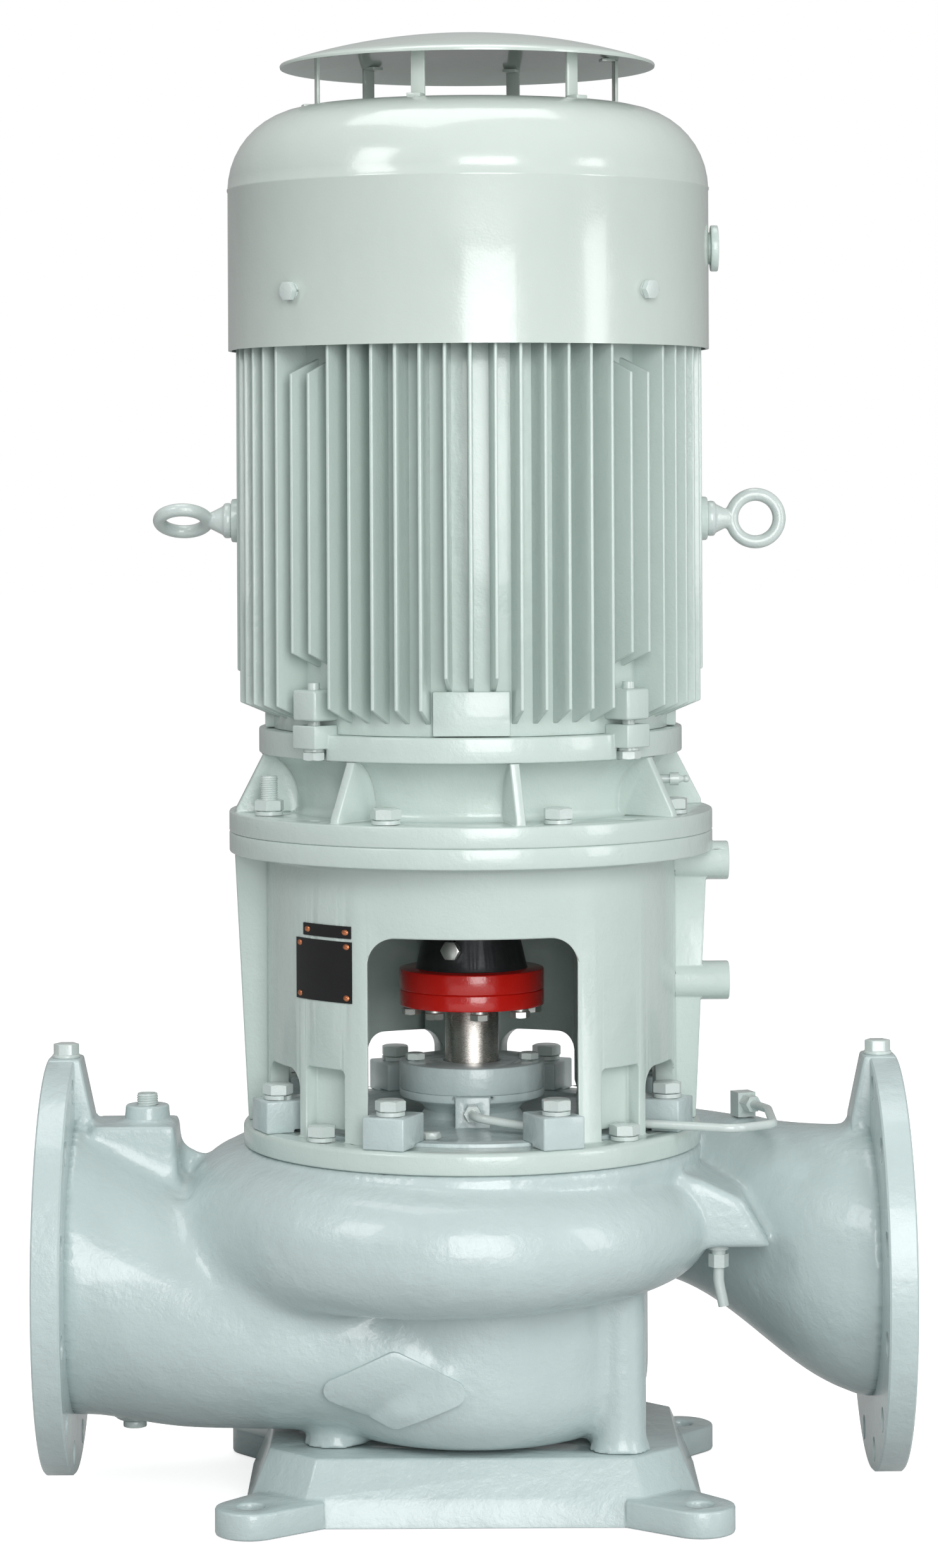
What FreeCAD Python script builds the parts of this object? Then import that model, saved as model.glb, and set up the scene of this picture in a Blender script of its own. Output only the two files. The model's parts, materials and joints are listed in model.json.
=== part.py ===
import FreeCAD, Part
import math
import os

os.makedirs("parts", exist_ok=True)

# Marine centrifugal pump: an in-line, vertical, close set pump under a flanged electric motor.
# Millimetres, +Z up, +X towards the discharge, -Y towards the front window.
# The origin lies on the shaft axis, at the underside of the base.

# Base frame
base_height = 58.0
base_bottom_half_x, base_bottom_half_y = 211.0, 150.0
base_top_half_x, base_top_half_y = 187.0, 126.0
base_bottom_chamfer, base_top_chamfer = 52.0, 44.0
base_wall = 14.0
base_top_plate = 16.0
base_window_half_x, base_window_half_y = 70.0, 60.0
foot_hole_x, foot_hole_y = 201.0, 160.0
foot_hole_radius = 12.0
foot_tip_radius = 32.0
foot_thickness = 24.0

# Flanges of the two nozzles
nozzle_height = 212.0
face_to_face = 790.0
flange_radius = 192.5
flange_thickness = 26.0
flange_bolt_circle = 345.0
flange_hole_count = 12
flange_hole_radius = 11.5
suction_bore_radius = 125.0
discharge_bore_radius = 112.5
nozzle_wall = 13.0

# Casing
casing_rim_z = 327.0
casing_rim_radius = 213.0
casing_rim_height = 12.0
casing_bottom_z = 62.0
chamber_radius = 163.0
chamber_corner = 55.0
chamber_wall = 13.0
chamber_ceiling_z = 208.0
chamber_ceiling_thickness = 16.0
volute_z = 257.0
volute_first_radius = 36.0
volute_growth = 40.0
volute_inner_edge = 138.0
volute_wall = 12.0
volute_end_degrees = 290.0
volute_start_degrees = 6.0
volute_steps = 10
cover_bore_radius = 156.0
gasket_recess_depth = 2.0
leg_radius = 24.0
leg_collar_radius = 30.0
leg_collar_height = 9.0
right_leg_x, right_leg_y = 133.0, 92.0
left_leg_x, left_leg_y = -128.0, 62.0
pad_x, pad_z = -69.0, 133.0
pad_width, pad_height, pad_raise = 127.0, 70.0, 4.5
gauge_boss_width = 44.0
gauge_boss_reach = 31.0
suction_boss_x = -303.0
suction_boss_top_z = 345.0
suction_boss_width = 76.0
drain_boss_x = -316.0
drain_boss_radius = 17.0
web_bottom_z = 242.0
drain_x, drain_y = 224.0, -82.0

# Casing cover, gasket, lantern
cover_flange_radius = 177.5
cover_flange_top_z = 350.0
cover_plate_top_z = 347.0
cover_spigot_depth = 29.0
cover_fit = 0.3
gasket_inner_radius, gasket_outer_radius = 159.0, 176.0
housing_neck_radius = 44.0
housing_flange_radius = 67.5
housing_flange_z = 366.0
housing_top_z = 376.0
seal_room_radius = 40.0
flush_boss_width = 32.0
flush_boss_reach = 69.0
flush_height = 362.0
vent_plug_x, vent_plug_y = -38.0, -126.0
lantern_foot_thickness = 20.0
lantern_foot_inner_radius = 178.0
lantern_outer_radius = 190.0
lantern_wall = 18.0
motor_flange_radius = 225.0
motor_flange_thickness = 19.0
motor_face_z = 617.0
spigot_radius = 175.0
spigot_depth = 5.0
window_width, window_top_z, window_corner = 188.0, 533.0, 25.0
opening_width, opening_top_z, opening_corner = 76.0, 407.0, 18.0
pocket_width, pocket_top_z, pocket_floor_radius = 49.0, 412.0, 175.0
pocket_swell_radius = 32.0
side_rib_thickness = 22.0
side_rib_top_radius, side_rib_foot_radius = 220.0, 208.0
side_boss_radius, side_boss_face_x = 18.0, 240.0
side_boss_heights = (586.0, 474.0)
lantern_bolt_circle_radius = 193.0

# Clamp blocks that hold the cover down
clamp_width, clamp_height = 40.0, 29.0
clamp_inner_radius, clamp_outer_radius = 163.0, 211.0
clamp_step_radius = 184.0

# Seal and gland
gland_top_z = 401.0
gland_bolt_x = 53.0
pump_shaft_radius = 25.0
shaft_clearance = 0.6

# Coupling
coupling_radius = 67.5
coupling_joint_z = 468.0
coupling_upper_thickness, coupling_lower_thickness = 19.0, 15.0
coupling_bolt_circle_radius = 56.5
coupling_bolt_phase = 7.0
coupling_hub_radius, coupling_hub_foot_radius = 43.0, 52.0
coupling_hub_top_z = 596.0
set_screw_z, set_screw_azimuth = 508.0, -21.0

# Impeller
impeller_radius = 150.0
impeller_outlet_width = 36.0
shroud_thickness = 8.0
impeller_eye_radius = 88.0
impeller_skirt_wall = 9.0
impeller_skirt_bottom_z = 204.0
impeller_hub_radius = 38.0
impeller_hub_top_z = 292.0
impeller_bore_radius = 20.0
blade_count = 6
blade_thickness = 7.0
wear_ring_wall = 8.0
wear_gap = 0.4

# Motor
motor_root_radius = 185.0
motor_bore_radius = 165.0
fin_outer_radius = 217.0
fin_pitch, fin_thickness = 23.0, 5.0
fins_each_side = 6
fin_bottom_z, fin_top_z = 721.0, 1082.0
fin_chamfer_depth, fin_chamfer_height = 23.0, 25.0
blank_pad_top_z = 744.0
blank_pad_half_width = 37.0
frame_bottom_z, frame_top_z = 713.0, 1092.0
frame_lug_bottom_z, frame_lug_top_z = 726.0, 754.0
lug_radius_out, lug_width = 213.0, 30.0
lug_bolt_radius = 200.0
shield_lug_bottom_z, shield_lug_top_z = 701.0, 722.0
shield_band_radius = 197.0
shield_bowl_top_radius, shield_bowl_foot_radius = 189.0, 164.0
shield_band_bottom_z = 690.0
gusset_count, gusset_thickness, gusset_phase = 8, 9.0, 11.25
flange_bolt_circle_motor = 400.0
motor_bolt_count, motor_bolt_phase = 8, 22.5
eyebolt_z = 905.0
eye_boss_radius, eye_boss_face = 20.0, 222.0
eye_ring_x, eye_wire_radius, eye_mean_radius = 267.0, 6.2, 22.2
motor_shaft_radius = 30.0
bearing_seat_radius = 32.5
bearing_outer_radius, bearing_width = 70.0, 33.0
lower_bearing_z, upper_bearing_z = 652.0, 1066.0
core_bottom_z, core_top_z = 775.0, 1010.0
rotor_radius = 108.0
air_gap = 0.7
winding_overhang = 38.0

# Fan, fan cover, canopy
cover_radius, cover_sheet = 224.0, 3.0
cover_bottom_z, cover_side_top_z, cover_top_z = 1063.0, 1212.0, 1290.0
cover_shoulder = 76.0
inlet_radius = 122.0
cover_screw_z = 1112.0
access_cap_radius, access_cap_z = 21.5, 1157.0
fan_radius, fan_blade_count = 160.0, 7
fan_bottom_z, fan_blade_height = 1128.0, 52.0
canopy_radius, canopy_rim_z, canopy_top_z = 175.0, 1326.0, 1357.0
canopy_sheet = 3.0
strap_radius, strap_width, strap_sheet, strap_count = 142.0, 13.0, 3.0, 6
strap_phase = 41.5

# Terminal box behind the motor
box_half_width, box_bottom_z, box_top_z = 100.0, 800.0, 990.0
box_front_y, box_back_y, box_lid_thickness = 222.0, 290.0, 9.0
box_pad_half_width, box_pad_bottom_z, box_pad_top_z = 70.0, 825.0, 965.0
box_wall = 7.0

# Plates on the lantern
plate_sheet = 1.2
plate_azimuth = -44.0
nameplate_width, nameplate_bottom_z, nameplate_top_z = 56.0, 473.0, 528.0
arrow_plate_width, arrow_plate_bottom_z, arrow_plate_top_z = 43.0, 531.0, 542.0

up = FreeCAD.Vector(0, 0, 1)
along_x = FreeCAD.Vector(1, 0, 0)
along_y = FreeCAD.Vector(0, 1, 0)
origin = FreeCAD.Vector(0, 0, 0)


def vec(x, y, z):
    return FreeCAD.Vector(x, y, z)


def save(name, *solids):
    """Write one node; several solids stay separate in it."""
    found = []
    for piece in solids:
        found.extend(piece.Solids)
    shape = found[0] if len(found) == 1 else Part.makeCompound(found)
    shape.exportStep("parts/" + name + ".step")
    return shape


def one(shape):
    """Merge the faces that lie on the same surface."""
    return shape.removeSplitter()


def rod(radius, bottom, top, x=0.0, y=0.0):
    return Part.makeCylinder(radius, top - bottom, vec(x, y, bottom), up)


def ring(outer, inner, bottom, top):
    return rod(outer, bottom, top).cut(rod(inner, bottom - 1, top + 1))


def rod_along(radius, start, direction, length):
    return Part.makeCylinder(radius, length, start, direction)


def turned(points):
    """Solid of revolution about Z from (radius, height) corners."""
    corners = [vec(r, 0, z) for r, z in points]
    face = Part.Face(Part.makePolygon(corners + [corners[0]]))
    return face.revolve(origin, up, 360)


def revolved(outline):
    """Solid of revolution; an entry of four numbers is an arc: its middle, then its end."""
    edges, last = [], vec(outline[0][0], 0, outline[0][1])
    first = last
    for entry in outline[1:] + [outline[0]]:
        target = vec(entry[-2], 0, entry[-1])
        if len(entry) == 4:
            edges.append(Part.Arc(last, vec(entry[0], 0, entry[1]), target).toShape())
        else:
            edges.append(Part.LineSegment(last, target).toShape())
        last = target
    assert (last - first).Length < 1e-6
    return Part.Face(Part.Wire(edges)).revolve(origin, up, 360)


def block(x0, x1, y0, y1, z0, z1):
    return Part.makeBox(x1 - x0, y1 - y0, z1 - z0, vec(x0, y0, z0))


def prism_xz(points, y0, y1):
    """Prism of (x, z) corners between two planes of Y."""
    corners = [vec(x, y0, z) for x, z in points]
    face = Part.Face(Part.makePolygon(corners + [corners[0]]))
    return face.extrude(vec(0, y1 - y0, 0))


def prism_xy(points, z0, z1):
    corners = [vec(x, y, z0) for x, y in points]
    face = Part.Face(Part.makePolygon(corners + [corners[0]]))
    return face.extrude(vec(0, 0, z1 - z0))


def turn(shape, degrees):
    """Copy turned about the shaft axis; the angle counts from the front towards +X."""
    copy = shape.copy()
    copy.rotate(origin, up, degrees)
    return copy


def around(shape, count, phase=0.0):
    return [turn(shape, phase + 360.0 * i / count) for i in range(count)]


def front_point(radius, azimuth, z):
    """Point at an azimuth counted from the front (-Y) towards +X."""
    angle = math.radians(azimuth)
    return vec(radius * math.sin(angle), -radius * math.cos(angle), z)


def hex_prism(across_flats, z0, z1, x=0.0, y=0.0):
    corner = across_flats / math.sqrt(3)
    points = [(x + corner * math.cos(math.radians(60 * i)),
               y + corner * math.sin(math.radians(60 * i))) for i in range(6)]
    return prism_xy(points, z0, z1)


def hex_bolt(size, seat_z, reach, x=0.0, y=0.0, washer=True):
    """Hex bolt with its head above the seat, a spring washer under it and its shank below."""
    flats, head = 1.35 * size + 2.6, size * 0.65
    washer_height = size * 0.25 if washer else 0.0
    parts = rod(size / 2, seat_z - reach, seat_z + washer_height, x, y)
    if washer:
        parts = parts.fuse(rod(size * 0.78, seat_z, seat_z + washer_height, x, y))
    top = seat_z + washer_height
    dome = Part.makeCone(flats * 0.66, flats * 0.48, head, vec(x, y, top), up)
    return parts.fuse(hex_prism(flats, top, top + head, x, y).common(dome))


def rounded_slot(half_width, bottom, top, corner, y0, y1):
    """Upright opening with two rounded upper corners, cut along Y."""
    outline = block(-half_width, half_width, y0, y1, bottom, top - corner)
    outline = outline.fuse(block(-half_width + corner, half_width - corner, y0, y1,
                                 top - corner - 1, top))
    for side in (-1, 1):
        start = vec(side * (half_width - corner), y0, top - corner)
        outline = outline.fuse(Part.makeCylinder(corner, y1 - y0, start, along_y))
    return one(outline)


def ellipse_wire(centre, across, half_across, half_up):
    """Closed section in the plane of `across` and Z, at least as wide as it is high."""
    if abs(half_across - half_up) < 0.01:
        curve = Part.Circle(centre, across.cross(up), half_up)
        curve.XAxis = across
    else:
        curve = Part.Ellipse(centre + across * half_across, centre + up * half_up, centre)
    return Part.Wire([curve.toShape()])


def tube_path(points, bend):
    """Straight runs joined by arcs that are tangent to both runs."""
    edges, last = [], points[0]
    for before, corner, after in zip(points, points[1:], points[2:]):
        into, out = (corner - before).normalize(), (after - corner).normalize()
        half_turn = into.getAngle(out) / 2
        setback = bend * math.tan(half_turn)
        start, end = corner - into * setback, corner + out * setback
        inward = (out - into).normalize()
        middle = corner + inward * (bend / math.cos(half_turn) - bend)
        edges.append(Part.LineSegment(last, start).toShape())
        edges.append(Part.Arc(start, middle, end).toShape())
        last = end
    edges.append(Part.LineSegment(last, points[-1]).toShape())
    return Part.Wire(edges)


def tube(points, radius, bend):
    path = tube_path(points, bend)
    direction = (points[1] - points[0]).normalize()
    section = Part.Wire([Part.Circle(points[0], direction, radius).toShape()])
    solid = path.makePipeShell([section], True, False)
    return solid, path.Length


# Base: a tapered hollow frame with chamfered corners and four lugs
def chamfered_rectangle(half_x, half_y, chamfer, z):
    corners = [(half_x, half_y - chamfer), (half_x - chamfer, half_y),
               (-half_x + chamfer, half_y), (-half_x, half_y - chamfer),
               (-half_x, -half_y + chamfer), (-half_x + chamfer, -half_y),
               (half_x - chamfer, -half_y), (half_x, -half_y + chamfer)]
    points = [vec(x, y, z) for x, y in corners]
    return Part.makePolygon(points + [points[0]])


def tapered_frame(inset, bottom, top):
    share_bottom, share_top = bottom / base_height, top / base_height
    levels = []
    for share, z in ((share_bottom, bottom), (share_top, top)):
        half_x = base_bottom_half_x + (base_top_half_x - base_bottom_half_x) * share - inset
        half_y = base_bottom_half_y + (base_top_half_y - base_bottom_half_y) * share - inset
        chamfer = base_bottom_chamfer + (base_top_chamfer - base_bottom_chamfer) * share
        levels.append(chamfered_rectangle(half_x, half_y, chamfer, z))
    return Part.makeLoft(levels, True, True)


def tangent_point(centre_x, centre_y, radius, x, y, side):
    """Where a line from (x, y) touches the circle, on the chosen side."""
    distance = math.hypot(x - centre_x, y - centre_y)
    heading = math.atan2(y - centre_y, x - centre_x)
    angle = heading + side * math.acos(radius / distance)
    return centre_x + radius * math.cos(angle), centre_y + radius * math.sin(angle)


def foot_lug():
    along_front = (base_bottom_half_x - base_bottom_chamfer - 24.0, base_bottom_half_y)
    along_side = (base_bottom_half_x - 12.0, base_bottom_half_y - base_bottom_chamfer + 10.0)
    touch_front = tangent_point(foot_hole_x, foot_hole_y, foot_tip_radius, *along_front, -1)
    touch_side = tangent_point(foot_hole_x, foot_hole_y, foot_tip_radius, *along_side, 1)
    root = (along_front[0] + 8.0, along_side[1] - 6.0)
    web = prism_xy([root, along_front, touch_front, (foot_hole_x, foot_hole_y), touch_side,
                    along_side], 0, foot_thickness)
    return web.fuse(rod(foot_tip_radius, 0, foot_thickness, foot_hole_x, foot_hole_y))


def legs():
    """Places of the four casing legs: x, y."""
    return [(right_leg_x, -right_leg_y), (right_leg_x, right_leg_y),
            (left_leg_x, -left_leg_y), (left_leg_x, left_leg_y)]


casing_screw_size = 16.0
casing_screw_reach = 22.0


def make_base():
    frame = tapered_frame(0.0, 0.0, base_height)
    lug = foot_lug()
    mirrored = lug.mirror(origin, along_x)
    for piece in (lug, mirrored, lug.mirror(origin, along_y), mirrored.mirror(origin, along_y)):
        frame = frame.fuse(piece)
    frame = frame.cut(tapered_frame(base_wall, -0.01, base_height - base_top_plate))
    frame = frame.cut(block(-base_window_half_x, base_window_half_x, -base_window_half_y,
                            base_window_half_y, 0, base_height + 1))
    for x in (-foot_hole_x, foot_hole_x):
        for y in (-foot_hole_y, foot_hole_y):
            frame = frame.cut(rod(foot_hole_radius, -1, foot_thickness + 1, x, y))
    for x, y in legs():
        frame = frame.cut(rod(casing_screw_size / 2 + 0.5, 0, base_height + 1, x, y))
    save("base_frame", one(frame))


def make_casing_screws():
    """Screws from below the top plate up into the casing legs."""
    screws = []
    for x, y in legs():
        screw = hex_bolt(casing_screw_size, 0, casing_screw_reach + base_top_plate, x, y)
        screw.rotate(vec(x, y, 0), along_x, 180)
        screw.translate(vec(0, 0, base_height - base_top_plate))
        screws.append(screw)
    save("casing_screws", *screws)


# Casing: volute, suction chamber, nozzles, flanges, rim, legs, bosses
def volute_radius(degrees):
    """Outer radius of the volute section, which grows along the flow."""
    share = max(degrees, 0.0) / volute_end_degrees
    return volute_first_radius + volute_growth * math.sqrt(share)


def volute_section(degrees, wall):
    """Round section of the volute; the flow turns clockwise from +X as seen from above."""
    angle = math.radians(degrees)
    outer = volute_radius(degrees)
    reach = volute_inner_edge + outer
    outward = vec(math.cos(angle), -math.sin(angle), 0)
    centre = outward * reach + up * volute_z
    return ellipse_wire(centre, outward, outer - wall, outer - wall)


def spiral(wall):
    sections = []
    sweep = volute_end_degrees - volute_start_degrees
    for i in range(volute_steps + 1):
        degrees = volute_start_degrees + sweep * i / volute_steps
        sections.append(volute_section(degrees, wall))
    return Part.makeLoft(sections, True, False)


def discharge_passage(wall):
    """From the end of the volute to the discharge flange, turning into the pipe axis."""
    angle = math.radians(volute_end_degrees)
    outer = volute_radius(volute_end_degrees)
    reach = volute_inner_edge + outer
    start = vec(reach * math.cos(angle), -reach * math.sin(angle), volute_z)
    heading = vec(-math.sin(angle), -math.cos(angle), 0)
    neck = discharge_bore_radius + nozzle_wall
    face = face_to_face / 2
    # centre x, y and z, the share of the turn into the pipe axis, and the radius
    stations = [(start.x, start.y, start.z, 0.0, outer),
                (152.0, 148.0, 256.0, 0.1, 79.0),
                (214.0, 106.0, 253.0, 0.35, 84.0),
                (268.0, 62.0, 236.0, 0.65, 99.0),
                (322.0, 22.0, 218.0, 0.9, 117.0),
                (face - flange_thickness, 0.0, nozzle_height, 1.0, neck)]
    sections = []
    for x, y, z, turn_share, radius in stations:
        direction = (heading * (1 - turn_share) + along_x * turn_share).normalize()
        across = up.cross(direction)
        sections.append(ellipse_wire(vec(x, y, z), across, radius - wall, radius - wall))
    shape = Part.makeLoft(sections, True, False)
    if wall:
        end = vec(face - flange_thickness, 0, nozzle_height)
        shape = shape.fuse(rod_along(neck - wall, end, along_x, flange_thickness + 1))
    return shape


def suction_passage(wall):
    """From the suction flange down into the chamber under the impeller."""
    face = -face_to_face / 2
    neck = suction_bore_radius + nozzle_wall
    low = casing_bottom_z
    # x, bottom, top and half width of each section
    stations = [(face + flange_thickness, nozzle_height - neck, nozzle_height + neck, neck),
                (-322.0, 71.0, 318.0, 138.0),
                (-281.0, 65.0, 296.0, 142.0),
                (-228.0, low + 1.0, 272.0, 150.0),
                (-160.0, low + 0.5, 258.0, 157.0),
                (-95.0, low + 0.5, 248.0, 159.0),
                (-25.0, low + 0.5, 240.0, 159.0)]
    sections = []
    for x, bottom, top, half_width in stations:
        centre = vec(x, 0, (bottom + top) / 2)
        half_up = (top - bottom) / 2 - wall
        sections.append(ellipse_wire(centre, along_y, half_width - wall, half_up))
    shape = Part.makeLoft(sections, True, False)
    if wall:
        shape = shape.fuse(rod_along(neck - wall, vec(face - 1, 0, nozzle_height), along_x,
                                     flange_thickness + 1))
    return shape


def chamber(wall):
    """Suction chamber under the volute, with a rounded lower edge."""
    radius, low, corner = chamber_radius - wall, casing_bottom_z + wall, chamber_corner - wall
    top = volute_z if wall == 0 else chamber_ceiling_z
    start = vec(0, 0, low)
    knee = vec(radius - corner, 0, low)
    middle = vec(radius - corner + corner * math.sin(math.pi / 4), 0,
                 low + corner - corner * math.cos(math.pi / 4))
    side = vec(radius, 0, low + corner)
    edges = [Part.LineSegment(start, knee).toShape(), Part.Arc(knee, middle, side).toShape(),
             Part.LineSegment(side, vec(radius, 0, top)).toShape(),
             Part.LineSegment(vec(radius, 0, top), vec(0, 0, top)).toShape(),
             Part.LineSegment(vec(0, 0, top), start).toShape()]
    return Part.Face(Part.Wire(edges)).revolve(origin, up, 360)


def pipe_flange(side):
    """Drilled flat-faced flange; the holes straddle the centre lines."""
    face = side * face_to_face / 2
    start = vec(face if side < 0 else face - flange_thickness, 0, nozzle_height)
    flange = rod_along(flange_radius, start, along_x, flange_thickness)
    for i in range(flange_hole_count):
        angle = 2 * math.pi * (i + 0.5) / flange_hole_count
        y = flange_bolt_circle / 2 * math.cos(angle)
        z = nozzle_height + flange_bolt_circle / 2 * math.sin(angle)
        hole = rod_along(flange_hole_radius, vec(start.x - 1, y, z), along_x,
                         flange_thickness + 2)
        flange = flange.cut(hole)
    return flange


gauge_boss_top_z = nozzle_height + flange_radius
gauge_tap_radius = 7.0
gauge_tap_depth = 34.0


def gauge_boss(side):
    """Boss on top of a flange for a gauge tapping, with a sloping back."""
    face = face_to_face / 2
    neck_top = nozzle_height + discharge_bore_radius + nozzle_wall
    points = [(face, gauge_boss_top_z - 24), (face, gauge_boss_top_z),
              (face - gauge_boss_reach, gauge_boss_top_z), (face - 43, neck_top + 10),
              (face - 45, neck_top - 22), (face - flange_thickness, neck_top - 22)]
    half = gauge_boss_width / 2
    return prism_xz([(side * x, z) for x, z in points], -half, half)


def gauge_plug_x(side):
    return side * (face_to_face / 2 - gauge_boss_reach / 2 - 1)


def rhombus_pad():
    """Blank pad with rounded corners, raised from the round wall of the chamber."""
    half_width, half_height, corner = pad_width / 2, pad_height / 2, 13.0
    points = [vec(-half_width, 0, 0), vec(0, 0, half_height), vec(half_width, 0, 0),
              vec(0, 0, -half_height)]
    face = Part.Face(Part.makePolygon(points + [points[0]]))
    plate = face.extrude(vec(0, -120, 0))
    upright = [edge for edge in plate.Edges
               if abs(edge.tangentAt(edge.FirstParameter).y) > 0.99]
    plate = plate.makeFillet(corner, upright)
    plate.translate(vec(pad_x, -90, pad_z))
    backing = rod(chamber_radius + pad_raise, pad_z - half_height - 1,
                  pad_z + half_height + 1)
    return plate.common(backing.fuse(suction_passage(-pad_raise)))


def leg(x, y, top):
    post = rod(leg_radius, base_height, top, x, y)
    collar = Part.makeCone(leg_collar_radius, leg_radius, leg_collar_height,
                           vec(x, y, base_height), up)
    return post.fuse(collar)


def suction_boss():
    """Flat-topped boss behind the suction flange that carries the gauge nipple."""
    left, right = suction_boss_x - 50, suction_boss_x + 28
    top = suction_boss_top_z
    body = prism_xz([(left, top), (right, top), (right + 4, top - 55), (right + 9, top - 85),
                     (left, top - 75)], -suction_boss_width / 2, suction_boss_width / 2)
    collar = Part.makeCone(21, 18, 15, vec(suction_boss_x, 0, top), up)
    rib = prism_xz([(right - 2, top - 22), (right + 42, top - 42), (right + 42, top - 80),
                    (right - 2, top - 80)], 14, 28)
    return body.fuse(collar).fuse(rib)


nipple_bore_radius = 7.0
nipple_root_z = suction_boss_top_z - 8.0
suction_boss_cap_z = suction_boss_top_z + 15.0


def discharge_web():
    """Flat-bottomed web between the start of the volute and the discharge neck."""
    points = [(176, 312), (206, 305), (246, 286), (272, web_bottom_z), (186, web_bottom_z)]
    return prism_xz(points, -104, 60)


def make_casing():
    body = spiral(0.0)
    added = [discharge_passage(0.0), chamber(0.0), suction_passage(0.0)]
    added.append(rod(casing_rim_radius, casing_rim_z - casing_rim_height, casing_rim_z))
    added.append(Part.makeCone(volute_inner_edge + 62, casing_rim_radius, rim_skirt_height,
                               vec(0, 0, casing_rim_z - casing_rim_height - rim_skirt_height)))
    for side in (1, -1):
        added += [pipe_flange(side), gauge_boss(side)]
    added += [suction_boss(), discharge_web(), rhombus_pad()]
    for x, y in legs():
        added.append(leg(x, y, volute_z - 20 if x > 0 else casing_bottom_z + 40))
    added.append(rod(drain_boss_radius, casing_bottom_z + 4, 100, drain_boss_x, 0))
    for piece in added:
        body = body.fuse(piece)
    ceiling_top = chamber_ceiling_z + chamber_ceiling_thickness
    cuts = [rod(cover_bore_radius, ceiling_top, casing_rim_z + 1),
            rod(casing_ring_outer, chamber_ceiling_z - 1, casing_rim_z),
            suction_room(),
            spiral(volute_wall), discharge_passage(nozzle_wall),
            rod(gasket_outer_radius + 1, casing_rim_z - gasket_recess_depth,
                casing_rim_z + 1),
            rod(casing_rim_radius + 1, casing_rim_z, casing_rim_z + 20)]
    for side in (-1, 1):
        cuts.append(rod(gauge_tap_radius, gauge_boss_top_z - gauge_tap_depth,
                        gauge_boss_top_z + 1, gauge_plug_x(side), 0))
    cuts.append(rod(nipple_thread_radius, nipple_root_z, suction_boss_cap_z + 1,
                    suction_boss_x, 0))
    cuts.append(rod(nipple_bore_radius, nozzle_height, nipple_root_z + 1, suction_boss_x, 0))
    cuts.append(rod(drain_plug_radius, casing_bottom_z, nozzle_height - 80, drain_boss_x, 0))
    cuts.append(rod(drain_thread_radius, web_bottom_z - 1, web_bottom_z + drain_thread_depth,
                    drain_x, drain_y))
    cuts.append(rod(elbow_thread_radius, elbow_seat_z - elbow_thread_depth,
                    elbow_seat_z + 30, elbow_x, elbow_y))
    for x, y in legs():
        cuts.append(rod(casing_screw_size / 2, base_height - 1, base_height
                        + casing_screw_reach, x, y))
    for azimuth in pocket_azimuths() + clamp_azimuths():
        place = front_point(lantern_bolt_circle_radius, azimuth, 0)
        cuts.append(rod(lantern_bolt_size / 2, casing_rim_z - lantern_bolt_depth,
                        casing_rim_z + 1, place.x, place.y))
    for piece in cuts:
        body = body.cut(piece)
    elbow_pad = rod(elbow_pad_radius, elbow_seat_z - 14, elbow_seat_z, elbow_x, elbow_y)
    body = body.fuse(elbow_pad.cut(rod(elbow_thread_radius, 0, 999, elbow_x, elbow_y)))
    return save("pump_casing", body)


def pocket_azimuths():
    return [45 + 90 * i for i in range(4)]


def clamp_azimuths():
    return [22.5 + 45 * i for i in range(8)]


def suction_room():
    """Water space up to the impeller's eye: it leaves the volute's wall and the ceiling."""
    room = suction_passage(nozzle_wall).fuse(chamber(chamber_wall))
    ceiling = ring(chamber_radius + 22, casing_ring_outer, chamber_ceiling_z,
                   chamber_ceiling_z + chamber_ceiling_thickness)
    return room.cut(ceiling).cut(spiral(0.0))


casing_ring_inner = impeller_eye_radius + impeller_skirt_wall + wear_gap
casing_ring_outer = casing_ring_inner + wear_ring_wall
rim_skirt_height = 48.0
nipple_thread_radius = 10.0
drain_plug_radius = 9.0
drain_thread_radius, drain_thread_depth = 5.0, 16.0
elbow_x, elbow_y, elbow_seat_z = 257.0, 60.0, 338.0
elbow_thread_radius, elbow_thread_depth, elbow_pad_radius = 5.0, 10.0, 17.0
lantern_bolt_size, lantern_bolt_depth = 16.0, 24.0
plug_flats, plug_head, plug_collar, plug_collar_radius = 21.0, 10.0, 3.0, 13.0


# Small pieces screwed into the casing
def make_plugs():
    """Hex plugs of the gauge bosses, drain plug of the suction side, vent plug of the cover."""
    plugs = [hex_bolt(vent_plug_size, cover_plate_top_z, 10, vent_plug_x, vent_plug_y, False)]
    for side in (-1, 1):
        x = gauge_plug_x(side)
        plug = rod(gauge_tap_radius, gauge_boss_top_z - 14, gauge_boss_top_z, x, 0)
        collar_top = gauge_boss_top_z + plug_collar
        plug = plug.fuse(rod(plug_collar_radius, gauge_boss_top_z, collar_top, x, 0))
        plugs.append(plug.fuse(hex_prism(plug_flats, collar_top, collar_top + plug_head, x, 0)))
    low = casing_bottom_z + 4
    plug = rod(drain_plug_radius, low, low + 14, drain_boss_x, 0)
    plugs.append(plug.fuse(rod(11, low - 6, low, drain_boss_x, 0)))
    save("screw_plugs", *plugs)


def make_gauge_nipple():
    cap = suction_boss_cap_z
    nipple = rod(nipple_thread_radius, nipple_root_z, cap + 11, suction_boss_x, 0)
    for i in range(4):
        groove = ring(nipple_thread_radius + 1, nipple_thread_radius - 0.8,
                      cap + 2 + 2.2 * i, cap + 3 + 2.2 * i)
        groove.translate(vec(suction_boss_x, 0, 0))
        nipple = nipple.cut(groove)
    bore = rod(nipple_bore_radius, nipple_root_z - 1, cap + 12, suction_boss_x, 0)
    save("gauge_nipple", nipple.cut(bore))


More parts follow.
